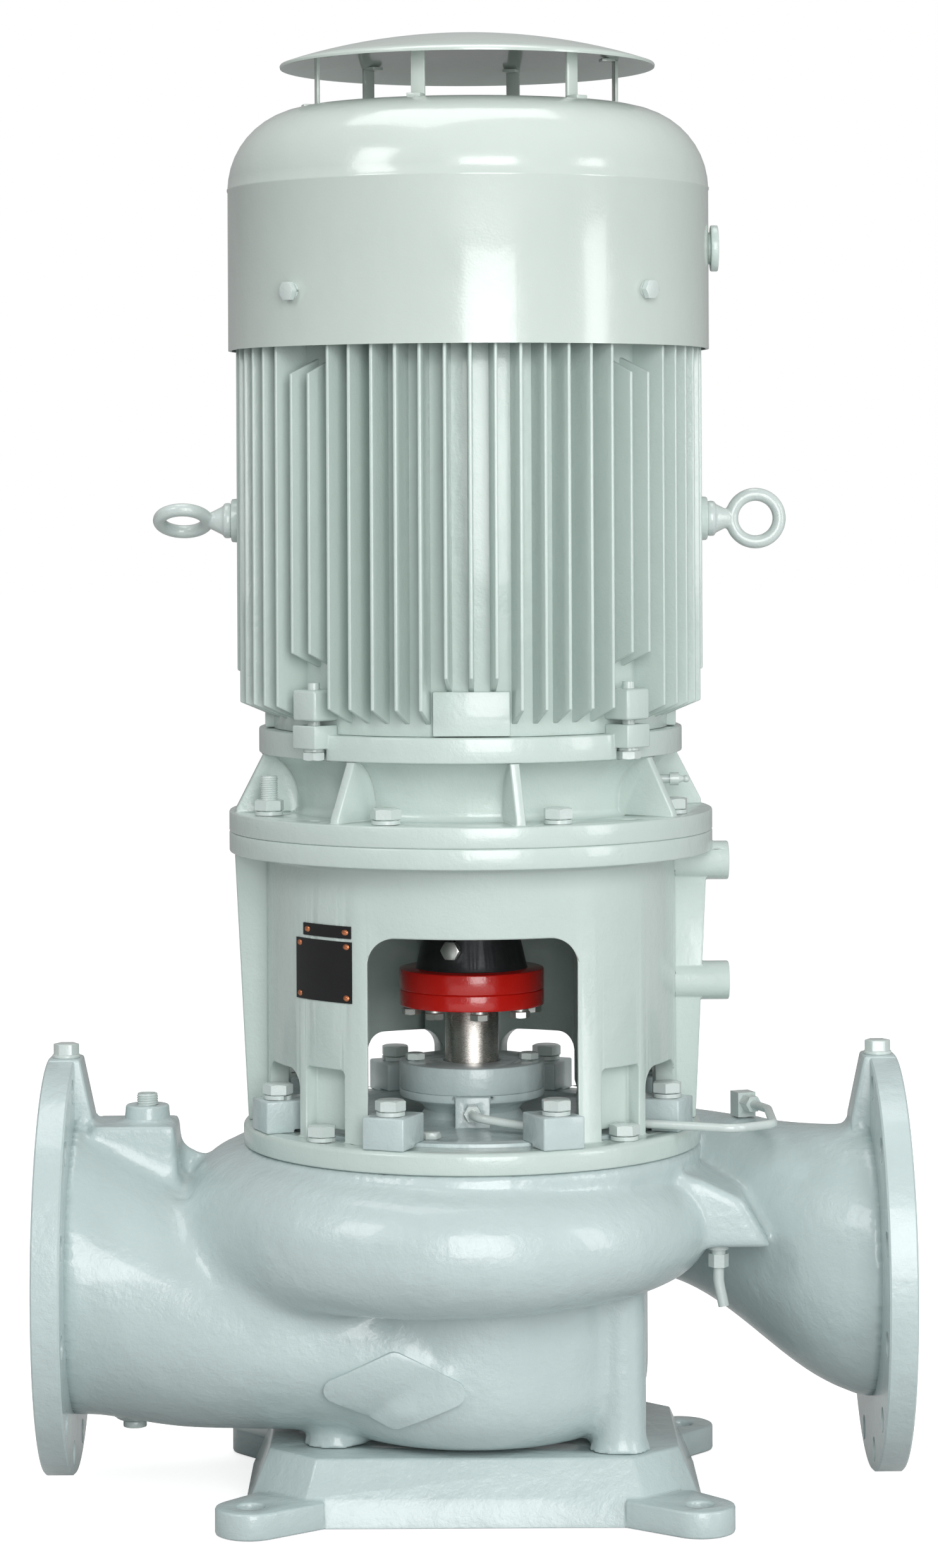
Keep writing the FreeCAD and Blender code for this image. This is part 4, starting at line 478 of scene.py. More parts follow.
def turnedCopies(tree, count, degrees, geometry, chosen=None):  # turned about the shaft
    link = tree.links.new
    points = tree.nodes.new("GeometryNodePoints")
    link(count, points.inputs["Count"])
    heading = tree.nodes.new("ShaderNodeCombineXYZ")
    link(mathOf(tree, "RADIANS", degrees), heading.inputs["Z"])
    spread = tree.nodes.new("GeometryNodeInstanceOnPoints")
    link(points.outputs[0], spread.inputs["Points"])
    link(geometry, spread.inputs["Instance"])
    link(heading.outputs[0], spread.inputs["Rotation"])
    if chosen is not None:
        link(chosen, spread.inputs["Selection"])
    return spread.outputs[0]


def endTree(tree, geometry, given):
    real = tree.nodes.new("GeometryNodeRealizeInstances")
    tree.links.new(geometry, real.inputs[0])
    dress = tree.nodes.new("GeometryNodeSetMaterial")
    tree.links.new(real.outputs[0], dress.inputs["Geometry"])
    tree.links.new(given["Material"], dress.inputs["Material"])
    tree.links.new(dress.outputs[0], tree.nodes.new("NodeGroupOutput").inputs[0])


def makeShaftTree():
    tree, names, given = newTree("aroundShaft", [
        ("Piece", "Object", None), ("Count", "Int", 8), ("Phase", "Float", 0.0),
        ("Skip", "Int", -1), ("Material", "Material", None)])
    index = tree.nodes.new("GeometryNodeInputIndex").outputs[0]
    wanted = tree.nodes.new("FunctionNodeCompare")
    wanted.data_type, wanted.operation = "INT", "NOT_EQUAL"
    tree.links.new(index, wanted.inputs["A"])
    tree.links.new(given["Skip"], wanted.inputs["B"])
    degrees = evenTurn(tree, index, given["Count"], given["Phase"])
    copies = turnedCopies(tree, given["Count"], degrees, pieceOf(tree, given),
                          wanted.outputs["Result"])
    endTree(tree, copies, given)
    return tree, names


def makeFinTree():  # a row of fins about its centre, repeated in each quarter
    tree, names, given = newTree("finRow", [
        ("Piece", "Object", None), ("Count", "Int", 5), ("Step", "Float", 6.0),
        ("Centre", "Float", 0.0), ("Quarters", "Int", 4), ("First", "Float", 0.0),
        ("Material", "Material", None)])
    index = tree.nodes.new("GeometryNodeInputIndex").outputs[0]
    middle = mathOf(tree, "MULTIPLY_ADD", given["Count"], 0.5, -0.5)
    fromMiddle = mathOf(tree, "SUBTRACT", index, middle)
    azimuth = mathOf(tree, "MULTIPLY_ADD", fromMiddle, given["Step"], given["Centre"])
    fins = turnedCopies(tree, given["Count"], azimuth, pieceOf(tree, given))
    turnBy = evenTurn(tree, index, given["Quarters"], given["First"])
    endTree(tree, turnedCopies(tree, given["Quarters"], turnBy, fins), given)
    return tree, names


shaftTree, shaftNames = makeShaftTree()
finTree, finNames = makeFinTree()


def grown(name, tree, names, values):  # the tree's result as a plain mesh
    holder = newObject(name, bpy.data.meshes.new(name))
    modifier = holder.modifiers.new("repeat", "NODES")
    modifier.node_group = tree
    for label, value in values.items():
        modifier[names[label]] = value
    settle(holder)
    return holder


def aroundShaft(name, piece, count, phase, paint, skip=-1):
    made = grown(name, shaftTree, shaftNames, {
        "Piece": piece, "Count": count, "Phase": float(phase), "Skip": skip,
        "Material": finish[paint]})
    bpy.data.objects.remove(piece)
    return made


print("tools ready")


# Castings: evened out, so that their joins run into each other as in a sand mould
castSet = {
    "pump_casing": {"voxel": 0.0042, "rounds": 26, "most": 180000},
    "eyebolt_left": {"voxel": 0.0012, "rounds": 6, "most": 40000},
    "eyebolt_right": {"voxel": 0.0012, "rounds": 6, "most": 40000},
}
discSet = {
    "centre": 0.212, "radius": 0.1925, "face": 0.395, "back": 0.369, "neckEnd": 0.368,
    "neckFrom": 0.3655, "neckReach": 0.004, "step": 0.0036,
    "bores": {-1: 0.125, 1: 0.1125}, "circle": 0.1725, "hole": 0.0115, "holes": 12,
    "edge": 0.0016, "holeEdge": 0.0008, "steps": 144, "holeSteps": 28,
    "boss": [(0.3942, 0.3805), (0.3942, 0.4045), (0.364, 0.4045), (0.352, 0.3475),
             (0.350, 0.3155), (0.369, 0.3155)], "bossHalf": 0.022, "bossEdge": 0.0025,
}


def soften(thing, rounds, weightAt):  # smoothing, as strong at each point as its weight says
    group = thing.vertex_groups.new(name="soften")
    for vertex in thing.data.vertices:
        weight = weightAt(vertex.co)
        if weight > 0.01:
            group.add([vertex.index], weight, "REPLACE")
    smooth = thing.modifiers.new("soften", "SMOOTH")
    smooth.factor = 0.5
    smooth.iterations = rounds
    smooth.vertex_group = group.name


def castCopy(thing, values, weightAt=lambda point: 1.0):
    remesh = thing.modifiers.new("even", "REMESH")
    remesh.mode = "VOXEL"
    remesh.voxel_size = values["voxel"]
    settle(thing)
    soften(thing, values["rounds"], weightAt)
    triangles = sum(len(face.vertices) - 2 for face in thing.data.polygons)
    if triangles > values["most"]:
        fewer = thing.modifiers.new("fewer", "DECIMATE")
        fewer.ratio = values["most"] / triangles
    settle(thing)
    thing.vertex_groups.clear()
    for face in thing.data.polygons:
        face.use_smooth = True
    print(thing.name, "triangles before thinning", triangles)
    return thing


def keepSide(thing, x, side):  # cut off at a plane of X and closed again
    work = bmesh.new()
    work.from_mesh(thing.data)
    found = bmesh.ops.bisect_plane(
        work, geom=work.verts[:] + work.edges[:] + work.faces[:], plane_co=(x, 0, 0),
        plane_no=(side, 0, 0), clear_inner=True)
    edges = [item for item in found["geom_cut"] if isinstance(item, bmesh.types.BMEdge)]
    bmesh.ops.triangle_fill(work, edges=edges, use_beauty=True, normal=(-side, 0, 0))
    work.to_mesh(thing.data)
    work.free()


machinedZones = [  # the most that a region softens, and its limits in metres
    (0.10, {"reach": (0.352, 1)}),  # both flanges
    (0.06, {"radius": (-1, 0.214), "z": (0.312, 1)}),  # seat of the lantern
    (0.25, {"radius": (-1, 0.216), "z": (0.300, 1)}),
    (0.22, {"x": (-1, -0.25), "z": (0.326, 1)}),  # boss of the nipple
    (0.25, {"z": (-1, 0.070)}),  # what stands on the base
    (0.05, {"radius": (-1, 0.165), "z": (0.200, 1)}),  # bored inside
    (0.22, {"x": (0.096, 0.164), "y": (-1, -0.05), "z": (0.050, 0.185)}),  # front right leg
    (0.30, {"x": (0.17, 0.28), "y": (-1, -0.03), "z": (0.235, 0.32)}),  # web of the neck
]


def casingWeight(point):  # 1 where the casting is free, near 0 where it was machined
    place = {"x": point.x, "y": point.y, "z": point.z, "reach": abs(point.x),
             "radius": math.hypot(point.x, point.y)}
    weight = 1.0
    for most, limits in machinedZones:
        if all(low < place[key] < high for key, (low, high) in limits.items()):
            weight = min(weight, most)
    return weight


def pipeDisc(side):  # drilled flange disc of a nozzle, its edges broken
    values = discSet
    face, back, edge = values["face"], values["back"], values["edge"]
    centres = [(0.0, values["centre"], values["radius"], edge, True, values["steps"]),
               (0.0, values["centre"], values["bores"][side], edge, False, values["steps"])]
    for i in range(values["holes"]):
        angle = 2 * math.pi * (i + 0.5) / values["holes"]
        centres.append((values["circle"] * math.sin(angle),
                        values["centre"] + values["circle"] * math.cos(angle),
                        values["hole"], values["holeEdge"], False, values["holeSteps"]))
    work = bmesh.new()
    ends = {"face": [], "back": []}
    for y, z, radius, broken, outside, steps in centres:
        if outside:
            levels = [(face, radius - broken), (face - broken, radius),
                      (back + broken, radius), (back, radius - broken)]
        elif radius > values["hole"]:  # a step receives the end of the neck
            step = values["step"]
            levels = [(face, radius + broken), (face - broken, radius), (back + step, radius),
                      (back + step, radius + step), (back, radius + step)]
        else:
            levels = [(face, radius + broken), (face - broken, radius), (back, radius)]
        rings = []
        for x, reach in levels:
            ring = []
            for k in range(steps):
                angle = 2 * math.pi * k / steps
                ring.append(work.verts.new((side * x, y + reach * math.cos(angle),
                                            z + reach * math.sin(angle))))
            rings.append(ring)
        bridgeAll(work, rings)
        for name, ring in (("face", rings[0]), ("back", rings[-1])):
            ends[name] += [work.edges.get((ring[k], ring[k - 1])) for k in range(steps)]
    for name, edges in ends.items():
        facing = side if name == "face" else -side
        bmesh.ops.triangle_fill(work, edges=edges, use_beauty=True, normal=(facing, 0, 0))
    thing = ended(work, "disc")
    shadeByAngle(thing, 30)
    return thing


def gaugeBoss(side):
    work = bmesh.new()
    rings = [[work.verts.new((side * x, y, z)) for x, z in discSet["boss"]]
             for y in (-discSet["bossHalf"], discSet["bossHalf"])]
    bridge(work, *rings)
    for ring in rings:
        work.faces.new(ring)
    return bevelled(ended(work, "gaugeBoss"), discSet["bossEdge"], 3)


# The joint of volute and suction chamber runs out in a wide hollow
hollowSet = {
    "line": [(-0.245, 0.285), (-0.205, 0.215), (-0.172, 0.182), (-0.098, 0.167)],
    "spread": 0.034, "rounds": 150, "awayFromMiddle": 0.06,
}


def hollowWeight(point):
    if abs(point.y) < hollowSet["awayFromMiddle"]:
        return 0.0
    nearest = 1.0
    for (x0, z0), (x1, z1) in zip(hollowSet["line"], hollowSet["line"][1:]):
        span = (x1 - x0) ** 2 + (z1 - z0) ** 2
        along = ((point.x - x0) * (x1 - x0) + (point.z - z0) * (z1 - z0)) / span
        along = min(max(along, 0.0), 1.0)
        nearest = min(nearest, math.hypot(point.x - x0 - along * (x1 - x0),
                                          point.z - z0 - along * (z1 - z0)))
    return math.exp(-(nearest / hollowSet["spread"]) ** 2)


def widenHollow(thing):
    soften(thing, hollowSet["rounds"], hollowWeight)
    settle(thing)
    thing.vertex_groups.clear()


# Blank rhombus pad of the chamber, laid on the solid's surface
padSet = {
    "x": -0.072, "z": 0.1255, "halfWidth": 0.0795, "halfHeight": 0.0376, "corner": 0.012,
    "solidX": -0.069, "solidZ": 0.133, "solidShape": (0.0635, 0.035, 0.013),
    "raise": 0.0045, "proud": 0.0022, "depth": 0.016, "columns": 48, "rows": 12,
    "steepest": 0.5, "tip": 0.999, "halvings": 24, "edge": 0.0018, "edgeAngle": 40,
}


def insideRhombus(x, z, halfWidth, halfHeight, corner):
    slope = math.atan2(halfHeight, halfWidth)
    wide, high = halfWidth - corner / math.sin(slope), halfHeight - corner / math.cos(slope)
    x, z = abs(x), abs(z)
    if x / wide + z / high <= 1:
        return True
    along = ((x - wide) * -wide + z * high) / (wide ** 2 + high ** 2)
    along = min(max(along, 0.0), 1.0)
    return math.hypot(x - wide * (1 - along), z - high * along) <= corner


def padDepthAt(x, z):  # how far in front of the shaft the face of the pad lies
    start = (padSet["x"] + x, -1.0, padSet["z"] + z)
    _, place, normal, _ = nodes["pump_casing"].ray_cast(start, (0, 1, 0))
    if insideRhombus(x + padSet["x"] - padSet["solidX"], z + padSet["z"] - padSet["solidZ"],
                     *padSet["solidShape"]):
        return place.y - padSet["proud"]
    return place.y - padSet["proud"] - padSet["raise"] / max(abs(normal.y), padSet["steepest"])


def rhombusPad():
    values = padSet
    slope = math.atan2(values["halfHeight"], values["halfWidth"])
    reach = values["halfWidth"] - values["corner"] * (1 / math.sin(slope) - 1)
    shape = (values["halfWidth"], values["halfHeight"], values["corner"])
    work = bmesh.new()
    columns = []
    for i in range(values["columns"] + 1):
        x = -values["tip"] * reach * math.cos(math.pi * i / values["columns"])
        low, high = 0.0, values["halfHeight"]
        for _ in range(values["halvings"]):
            middle = (low + high) / 2
            if insideRhombus(x, middle, *shape):
                low = middle
            else:
                high = middle
        column = []
        for k in range(values["rows"] + 1):
            z = low * (2 * k / values["rows"] - 1)
            y = padDepthAt(x, z)
            column.append([work.verts.new((values["x"] + x, y + back, values["z"] + z))
                           for back in (0.0, values["depth"])])
        columns.append(column)
    for one, two in zip(columns, columns[1:]):
        for k in range(values["rows"]):
            for side in (0, 1):
                work.faces.new((one[k][side], one[k + 1][side], two[k + 1][side],
                                two[k][side]))
        for k in (0, values["rows"]):
            work.faces.new((one[k][0], two[k][0], two[k][1], one[k][1]))
    for column in (columns[0], columns[-1]):
        for k in range(values["rows"]):
            work.faces.new((column[k][0], column[k + 1][0], column[k + 1][1], column[k][1]))
    return bevelled(ended(work, "pad"), values["edge"], 3, values["edgeAngle"], True)


collarSet = {  # turned collar of the suction boss, round the nipple: radius, height
    "x": -0.303,
    "outline": [(0.0090, 0.335), (0.0235, 0.335), (0.0215, 0.344), (0.0200, 0.3605),
                (0.0090, 0.3605)],
    "edge": 0.0018, "steps": 72,
}


def nippleCollar():
    collar = lathe("collar", collarSet["outline"], collarSet["steps"])
    bevelled(collar, collarSet["edge"], 3)
    return moved(collar, shifted(collarSet["x"], 0, 0))


def makeCasing():
    body = mergedCopy("pump_casing", "castBody")
    for side in (-1, 1):
        keepSide(body, side * discSet["neckEnd"], -side)
    castCopy(body, castSet["pump_casing"], casingWeight)
    widenHollow(body)
    for vertex in body.data.vertices:
        if abs(vertex.co.x) > discSet["neckFrom"]:
            vertex.co.x += math.copysign(discSet["neckReach"], vertex.co.x)
    pieces = [body, rhombusPad(), nippleCollar()]
    for side in (-1, 1):
        pieces += [pipeDisc(side), gaugeBoss(side)]
    handOver(joined("pumpCasing", pieces), "pump_casing", paint="pumpPaint")


def makeCastings():
    makeCasing()
    for node, name in (("eyebolt_left", "leftEye"), ("eyebolt_right", "rightEye")):
        handOver(castCopy(mergedCopy(node, name), castSet[node]), node, paint=paintOf(node))


makeCastings()
print("castings ready")


# Machined and pressed pieces: the solids with broken edges
edgeSet = {  # node: width of the broken edge, in metres
    "lantern": 0.0016, "drive_end_shield": 0.0014, "base_frame": 0.0022,
    "casing_cover": 0.0008, "seal_gland": 0.0012, "clamp_blocks": 0.0016,
    "coupling_lower_half": 0.0012, "screw_plugs": 0.0006, "flush_fittings": 0.0,
    "drain_fitting": 0.0, "terminal_box": 0.0012, "terminal_box_lid": 0.0016,
    "cable_gland": 0.0006, "access_cap": 0.0010, "upper_end_shield": 0.0010,
    "flush_tube": 0.0, "drain_tube": 0.0,
    "grease_nipple": 0.0, "inlet_grille": 0.0, "cooling_fan": 0.0008,
    "pump_shaft": 0.0008, "motor_shaft": 0.0010,
}


def makeEdged():
    for node, width in edgeSet.items():
        thing = bevelled(mergedCopy(node, node + "Piece"), width)
        handOver(thing, node, paint=paintOf(node))


makeEdged()
print("machined pieces ready")


# Plates and their rivets, as wide round the lantern as in the picture
plateSet = {  # factor of the width round the shaft, turn in degrees; the gap parts the plates
    "lower": {"wider": 1.30, "turn": -1.6},
    "upper": {"wider": 1.41, "turn": 0.0},
    "gap": 0.0005,
}


def makePlates():
    low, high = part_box("nameplate")
    above = high[2] + plateSet["gap"]
    middle = math.atan2((low[0] + high[0]) / 2, -(low[1] + high[1]) / 2)
    for node in ("nameplate", "arrow_plate", "plate_rivets"):
        thing = mergedCopy(node, node + "Piece")
        for vertex in thing.data.vertices:
            place = vertex.co
            values = plateSet["upper" if place.z > above else "lower"]
            azimuth = math.atan2(place.x, -place.y) - middle
            azimuth = middle + azimuth * values["wider"] + math.radians(values["turn"])
            radius = math.hypot(place.x, place.y)
            place.x, place.y = radius * math.sin(azimuth), -radius * math.cos(azimuth)
        handOver(bevelled(thing, 0.0), node, paint=paintOf(node))


makePlates()


# Upper coupling half: a red flange and a bare hub
couplingSet = {"flangeTop": 0.4872, "edge": 0.0012}


def makeUpperCoupling():
    thing = bevelled(mergedCopy("coupling_upper_half", "upperCoupling"), couplingSet["edge"])
    thing.data.materials.append(finish["redPaint"])
    thing.data.materials.append(finish["hubSteel"])
    for face in thing.data.polygons:
        face.material_index = 1 if face.center.z > couplingSet["flangeTop"] else 0
    handOver(thing, "coupling_upper_half")


makeUpperCoupling()


# Hex bolts with chamfered heads and split washers
hexSet = {  # shares of the thread's size, and below them shares of the width across flats
    "flats": 1.35, "flatsMore": 0.0026, "head": 0.65, "washer": 0.25, "shankEnd": 0.92,
    "seat": 0.46, "broken": 0.02, "brokenUp": 0.05, "domeFrom": 0.465, "top": 0.455,
    "domeSlope": 0.50, "steps": 48, "shankSteps": 24, "sharpFrom": 24,
}
washerSet = {  # shares of the thread's size and of the wire's height, slit in degrees
    "inner": 0.52, "outer": 0.80, "low": 0.06, "high": 0.94, "rise": 0.10,
    "slit": 16, "steps": 40,
}


def hexBolt(name, size, reach, washer=True, shank=True):  # seated on z = 0, head upwards
    values = hexSet
    flats, head = values["flats"] * size + values["flatsMore"], values["head"] * size
    low = values["washer"] * size if washer else 0.0
    steps = values["steps"]
    work = bmesh.new()
    rings = []
    for level in range(5):
        ring = []
        for i in range(steps):
            angle = 2 * math.pi * i / steps
            local = angle % (math.pi / 3) - math.pi / 6
            hexRadius = flats / 2 / math.cos(local)
            fall = (hexRadius - values["domeFrom"] * flats) * values["domeSlope"]
            radius, height = [
                (values["seat"] * flats, low),
                (hexRadius - values["broken"] * flats, low + values["broken"] * flats),
                (hexRadius, low + values["brokenUp"] * flats), (hexRadius, low + head - fall),
                (values["top"] * flats, low + head)][level]
            ring.append(work.verts.new((radius * math.cos(angle), radius * math.sin(angle),
                                        height)))
        rings.append(ring)
    bridgeAll(work, rings)
    work.faces.new(rings[-1])
    work.faces.new(rings[0][::-1])
    if shank:
        bmesh.ops.create_cone(work, cap_ends=True, segments=values["shankSteps"],
                              radius1=size / 2 * values["shankEnd"], radius2=size / 2,
                              depth=reach + low,
                              matrix=Matrix.Translation((0, 0, (low - reach) / 2)))
    if washer:
        splitWasher(work, size)
    thing = ended(work, name)
    shadeByAngle(thing, values["sharpFrom"])
    return thing


def splitWasher(work, size):  # one turn of square wire with a slit
    values = washerSet
    inner, outer, high = values["inner"] * size, values["outer"] * size, hexSet["washer"] * size
    steps, slit = values["steps"], values["slit"]
    sections = []
    for i in range(steps + 1):
        angle = math.radians(slit / 2 + (360 - slit) * i / steps)
        rise = high * values["rise"] * (i / steps - 0.5)
        sections.append([work.verts.new((radius * math.cos(angle), radius * math.sin(angle),
                                         high * share + rise))
                         for radius, share in ((inner, values["low"]), (outer, values["low"]),
                                               (outer, values["high"]),
                                               (inner, values["high"]))])
    bridgeAll(work, sections)
    work.faces.new(sections[0])
    work.faces.new(sections[-1][::-1])


boltSet = {
    # node: size, reach, circle, seat height, points down, washer, count, phase, skipped one
    "lantern_bolts": (0.016, 0.042, 0.193, 0.347, False, True, 4, 45, -1),
    "clamp_bolts": (0.016, 0.071, 0.193, 0.376, False, True, 8, 22.5, -1),
    "motor_flange_bolts": (0.016, 0.037, 0.200, 0.636, False, True, 8, 22.5, 6),
    "shield_bolts": (0.012, 0.059, 0.200, 0.701, True, True, 4, 45, -1),
    "coupling_bolts": (0.010, 0.029, 0.0565, 0.453, True, True, 8, 7, -1),
    "gland_bolts": (0.010, 0.033, 0.053, 0.401, False, False, 2, 90, -1),
    "upper_shield_bolts": (0.010, 0.026, 0.175, 1.102, False, True, 4, 0, -1),
}


headTurn = 13.0  # degrees by which the heads stand askew


def makeBolts():
    for node, values in boltSet.items():
        size, reach, circle, seat, down, washer, count, phase, skipped = values
        piece = hexBolt(node + "Bolt", size, reach, washer)
        if down:
            moved(piece, spun(180, "X"))
        moved(piece, spun(headTurn), shifted(0, -circle, seat))
        thing = aroundShaft(node + "Set", piece, count, phase, paintOf(node), skipped)
        handOver(thing, node)


makeBolts()


# Screws that point outwards: the fan cover's, and the set screw of the coupling
radialSet = {  # node: piece, its result, size, reach, radius, height, count, phase, finish
    "fan_cover_screws": ("coverScrew", "coverScrews", 0.010, 0.020, 0.224, 1.112, 4, 45,
                         "boltPaint"),
    "coupling_set_screw": ("setScrew", "setScrewPiece", 0.010, 0.019, 0.049, 0.508, 1, -21,
                           "zincSteel"),
}
lidSet = {"size": 0.008, "reach": 0.021, "x": 0.086, "y": 0.299, "heights": (0.814, 0.976)}


def makeRadialScrews():
    for node, values in radialSet.items():
        single, name, size, reach, radius, height, count, phase, paint = values
        piece = moved(hexBolt(single, size, reach), spun(90, "X"), shifted(0, -radius, height))
        handOver(aroundShaft(name, piece, count, phase, paint), node)


def makeLidScrews():
    screws = []
    for x in (-lidSet["x"], lidSet["x"]):
        for z in lidSet["heights"]:
            screw = hexBolt("lidScrew", lidSet["size"], lidSet["reach"], False)
            screws.append(moved(screw, spun(-90, "X"), shifted(x, lidSet["y"], z)))
    handOver(joined("lidScrews", screws), "lid_screws", paint="boltPaint")


makeRadialScrews()
makeLidScrews()
print("bolts ready")


# Stud with its nut on the motor flange, and the threaded nipple of the suction boss
threadSet = {  # node: result, radius, pitch, depth, bore
    "motor_flange_stud": ("studThread", 0.0080, 0.0020, 0.0009, 0.0),
    "gauge_nipple": ("nippleThread", 0.0100, 0.0022, 0.0010, 0.007),
}
rodSet = {"steps": 36, "levelsPerTurn": 8, "sharpFrom": 50}
nutSet = {"size": 0.016, "turn": 20}


def threadedRod(name, radius, pitch, depth, bore, low, high):
    steps = rodSet["steps"]
    work = bmesh.new()
    rings = []
    count = int((high - low) / pitch * rodSet["levelsPerTurn"]) + 1
    for level in range(count + 1):
        height = low + (high - low) * level / count
        ring = []
        for i in range(steps):
            angle = 2 * math.pi * i / steps
            phase = (height - low) / pitch - i / steps
            wave = 0.5 + 0.5 * math.cos(2 * math.pi * phase)
            fade = min(1.0, (high - height) / pitch, (height - low) / pitch)
            reachOut = radius - depth * (1 - wave * fade)
            ring.append(work.verts.new((reachOut * math.cos(angle), reachOut * math.sin(angle),
                                        height)))
        rings.append(ring)
    if bore:
        rings += [levelRing(work, bore, height, steps) for height in (high, low)]
        rings.append(rings[0])
    bridgeAll(work, rings)
    if not bore:
        work.faces.new(rings[-1])
        work.faces.new(rings[0][::-1])
    thing = ended(work, name)
    shadeByAngle(thing, rodSet["sharpFrom"])
    return thing


def makeThreads():
    for node, values in threadSet.items():
        low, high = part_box(node)
        thing = threadedRod(*values, low[2], high[2])
        moved(thing, shifted((low[0] + high[0]) / 2, (low[1] + high[1]) / 2, 0))
        handOver(thing, node, paint=paintOf(node))
    low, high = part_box("motor_flange_nut")
    nut = hexBolt("flangeNut", nutSet["size"], 0.0, shank=False)
    moved(nut, spun(nutSet["turn"]),
          shifted((low[0] + high[0]) / 2, (low[1] + high[1]) / 2, low[2]))
    handOver(nut, "motor_flange_nut", paint="boltPaint")


makeThreads()
print("threads ready")


# Motor frame: a turned body with lugs, pads and bosses, and radial fins all round
motorSet = {
    "bore": 0.165, "root": 0.185, "bottom": 0.713, "top": 1.092, "edge": 0.0015,
    "steps": 160, "finOuter": 0.217, "finInner": 0.180, "finTip": 0.0032, "finRoot": 0.0056,
    "finEdge": 0.0011, "chamferIn": 0.032, "chamferUp": 0.0135, "step": 6.0, "quarters": 4,
    "boxPad": ((-0.070, 0.170, 0.825), (0.070, 0.222, 0.965), 0.003),
    "eyeBoss": [(0.0, 0.177), (0.024, 0.177), (0.020, 0.222), (0.0, 0.222)],
    "eyeBossSteps": 48, "eyeHeight": 0.905,
}
blockSet = {  # piece: its result, low corner, high corner, edge, segments, count, phase
    "lug": ("lugs", (-0.015, -0.213, 0.726), (0.015, -0.179, 0.754), 0.003, 3, 4, 45),
    "pad": ("pads", (-0.0345, -0.1900, 0.7140), (0.0345, -0.1700, 0.7540), 0.0015, 2, 4, 0),
}
finRows = {  # lowest and highest point, count, centre in degrees
    "longRight": (0.7245, 1.082, 5, 24.0),
    "longLeft": (0.7245, 1.082, 5, -24.0),
    "middle": (0.7530, 1.082, 3, 0.0),
    "cornerRight": (0.7734, 1.052, 1, 42.0),
    "cornerLeft": (0.7734, 1.052, 1, -42.0),
}


def finPiece(low, high, chamferedTop):
    outer, inner = motorSet["finOuter"], motorSet["finInner"]
    knee, upward = outer - motorSet["chamferIn"], motorSet["chamferUp"]
    profile = [(inner, low), (knee, low), (outer, low + upward)]
    if chamferedTop:
        profile += [(outer, high - upward), (knee, high)]
    else:
        profile.append((outer, high))
    profile.append((inner, high))
    work = bmesh.new()
    sides = []
    for side in (-1, 1):
        ring = []
        for r, z in profile:
            share = (outer - r) / (outer - inner)
            half = (motorSet["finTip"] + (motorSet["finRoot"] - motorSet["finTip"]) * share) / 2
            ring.append(work.verts.new((side * half, -r, z)))
        sides.append(ring)
        work.faces.new(ring)
    bridge(work, *sides)
    return bevelled(ended(work, "fin"), motorSet["finEdge"], 3)


def makeMotorFrame():
    values = motorSet
    body = lathe("frameBody", [(values["bore"], values["bottom"]),
                               (values["root"], values["bottom"]),
                               (values["root"], values["top"]),
                               (values["bore"], values["top"])], values["steps"])
    pieces = [bevelled(body, values["edge"])]
    for single, (name, low, high, edge, segments, count, phase) in blockSet.items():
        block = slab(single, low, high, edge, segments)
        pieces.append(aroundShaft(name, block, count, phase, "motorPaint"))
    pieces.append(slab("boxPad", *values["boxPad"]))
    boss = lathe("eyeBoss", values["eyeBoss"], values["eyeBossSteps"], False)
    moved(bevelled(boss, values["edge"]), spun(90, "X"), shifted(0, 0, values["eyeHeight"]))
    pieces.append(aroundShaft("eyeBosses", boss, 2, 90, "motorPaint"))
    for name, (low, high, count, centre) in finRows.items():
        fin = finPiece(low, high, name.startswith("corner"))
        pieces.append(grown(name, finTree, finNames, {
            "Piece": fin, "Count": count, "Step": values["step"], "Centre": centre,
            "Quarters": values["quarters"], "First": 0.0, "Material": finish["motorPaint"]}))
        bpy.data.objects.remove(fin)
    handOver(joined("motorFrame", pieces), "motor_frame", paint="motorPaint")


makeMotorFrame()
print("motor frame ready")


# Fan cover and rain canopy, both pressed sheet
coverSet = {
    "radius": 0.224, "sheet": 0.003, "bottom": 1.063, "sideTop": 1.212, "top": 1.290,
    "shoulder": 0.076, "inlet": 0.122, "beadAt": 1.214,
    "bead": [(0.0, -0.0040), (0.0007, -0.0026), (0.0007, -0.0012), (0.0, -0.0002)],
    "steps": 192,
}
canopySet = {
    "radius": 0.175, "rim": 1.326, "top": 1.357, "sheet": 0.003, "rings": 14, "steps": 160,
}
strapSet = {  # low corner, high corner
    "web": ((-0.0065, -0.1435, 1.2872), (0.0065, -0.1405, 1.3368)),
    "foot": ((-0.0065, -0.1560, 1.2862), (0.0065, -0.1405, 1.2905)),
    "head": ((-0.0065, -0.1435, 1.3345), (0.0065, -0.1280, 1.3375)),
}
strapRow = {"edge": 0.0005, "count": 6, "phase": 41.5}


def coverOutline(inset):
    values = coverSet
    radius, shoulder = values["radius"] - inset, values["shoulder"] - inset
    centre = values["radius"] - values["shoulder"]
    outline = [(radius, values["bottom"]), (radius, values["sideTop"])]
    for degrees in range(8, 81, 8):
        angle = math.radians(degrees)
        outline.append((centre + shoulder * math.cos(angle),
                        values["sideTop"] + shoulder * math.sin(angle)))
    outline.append((values["inlet"], values["top"] - inset))
    return outline


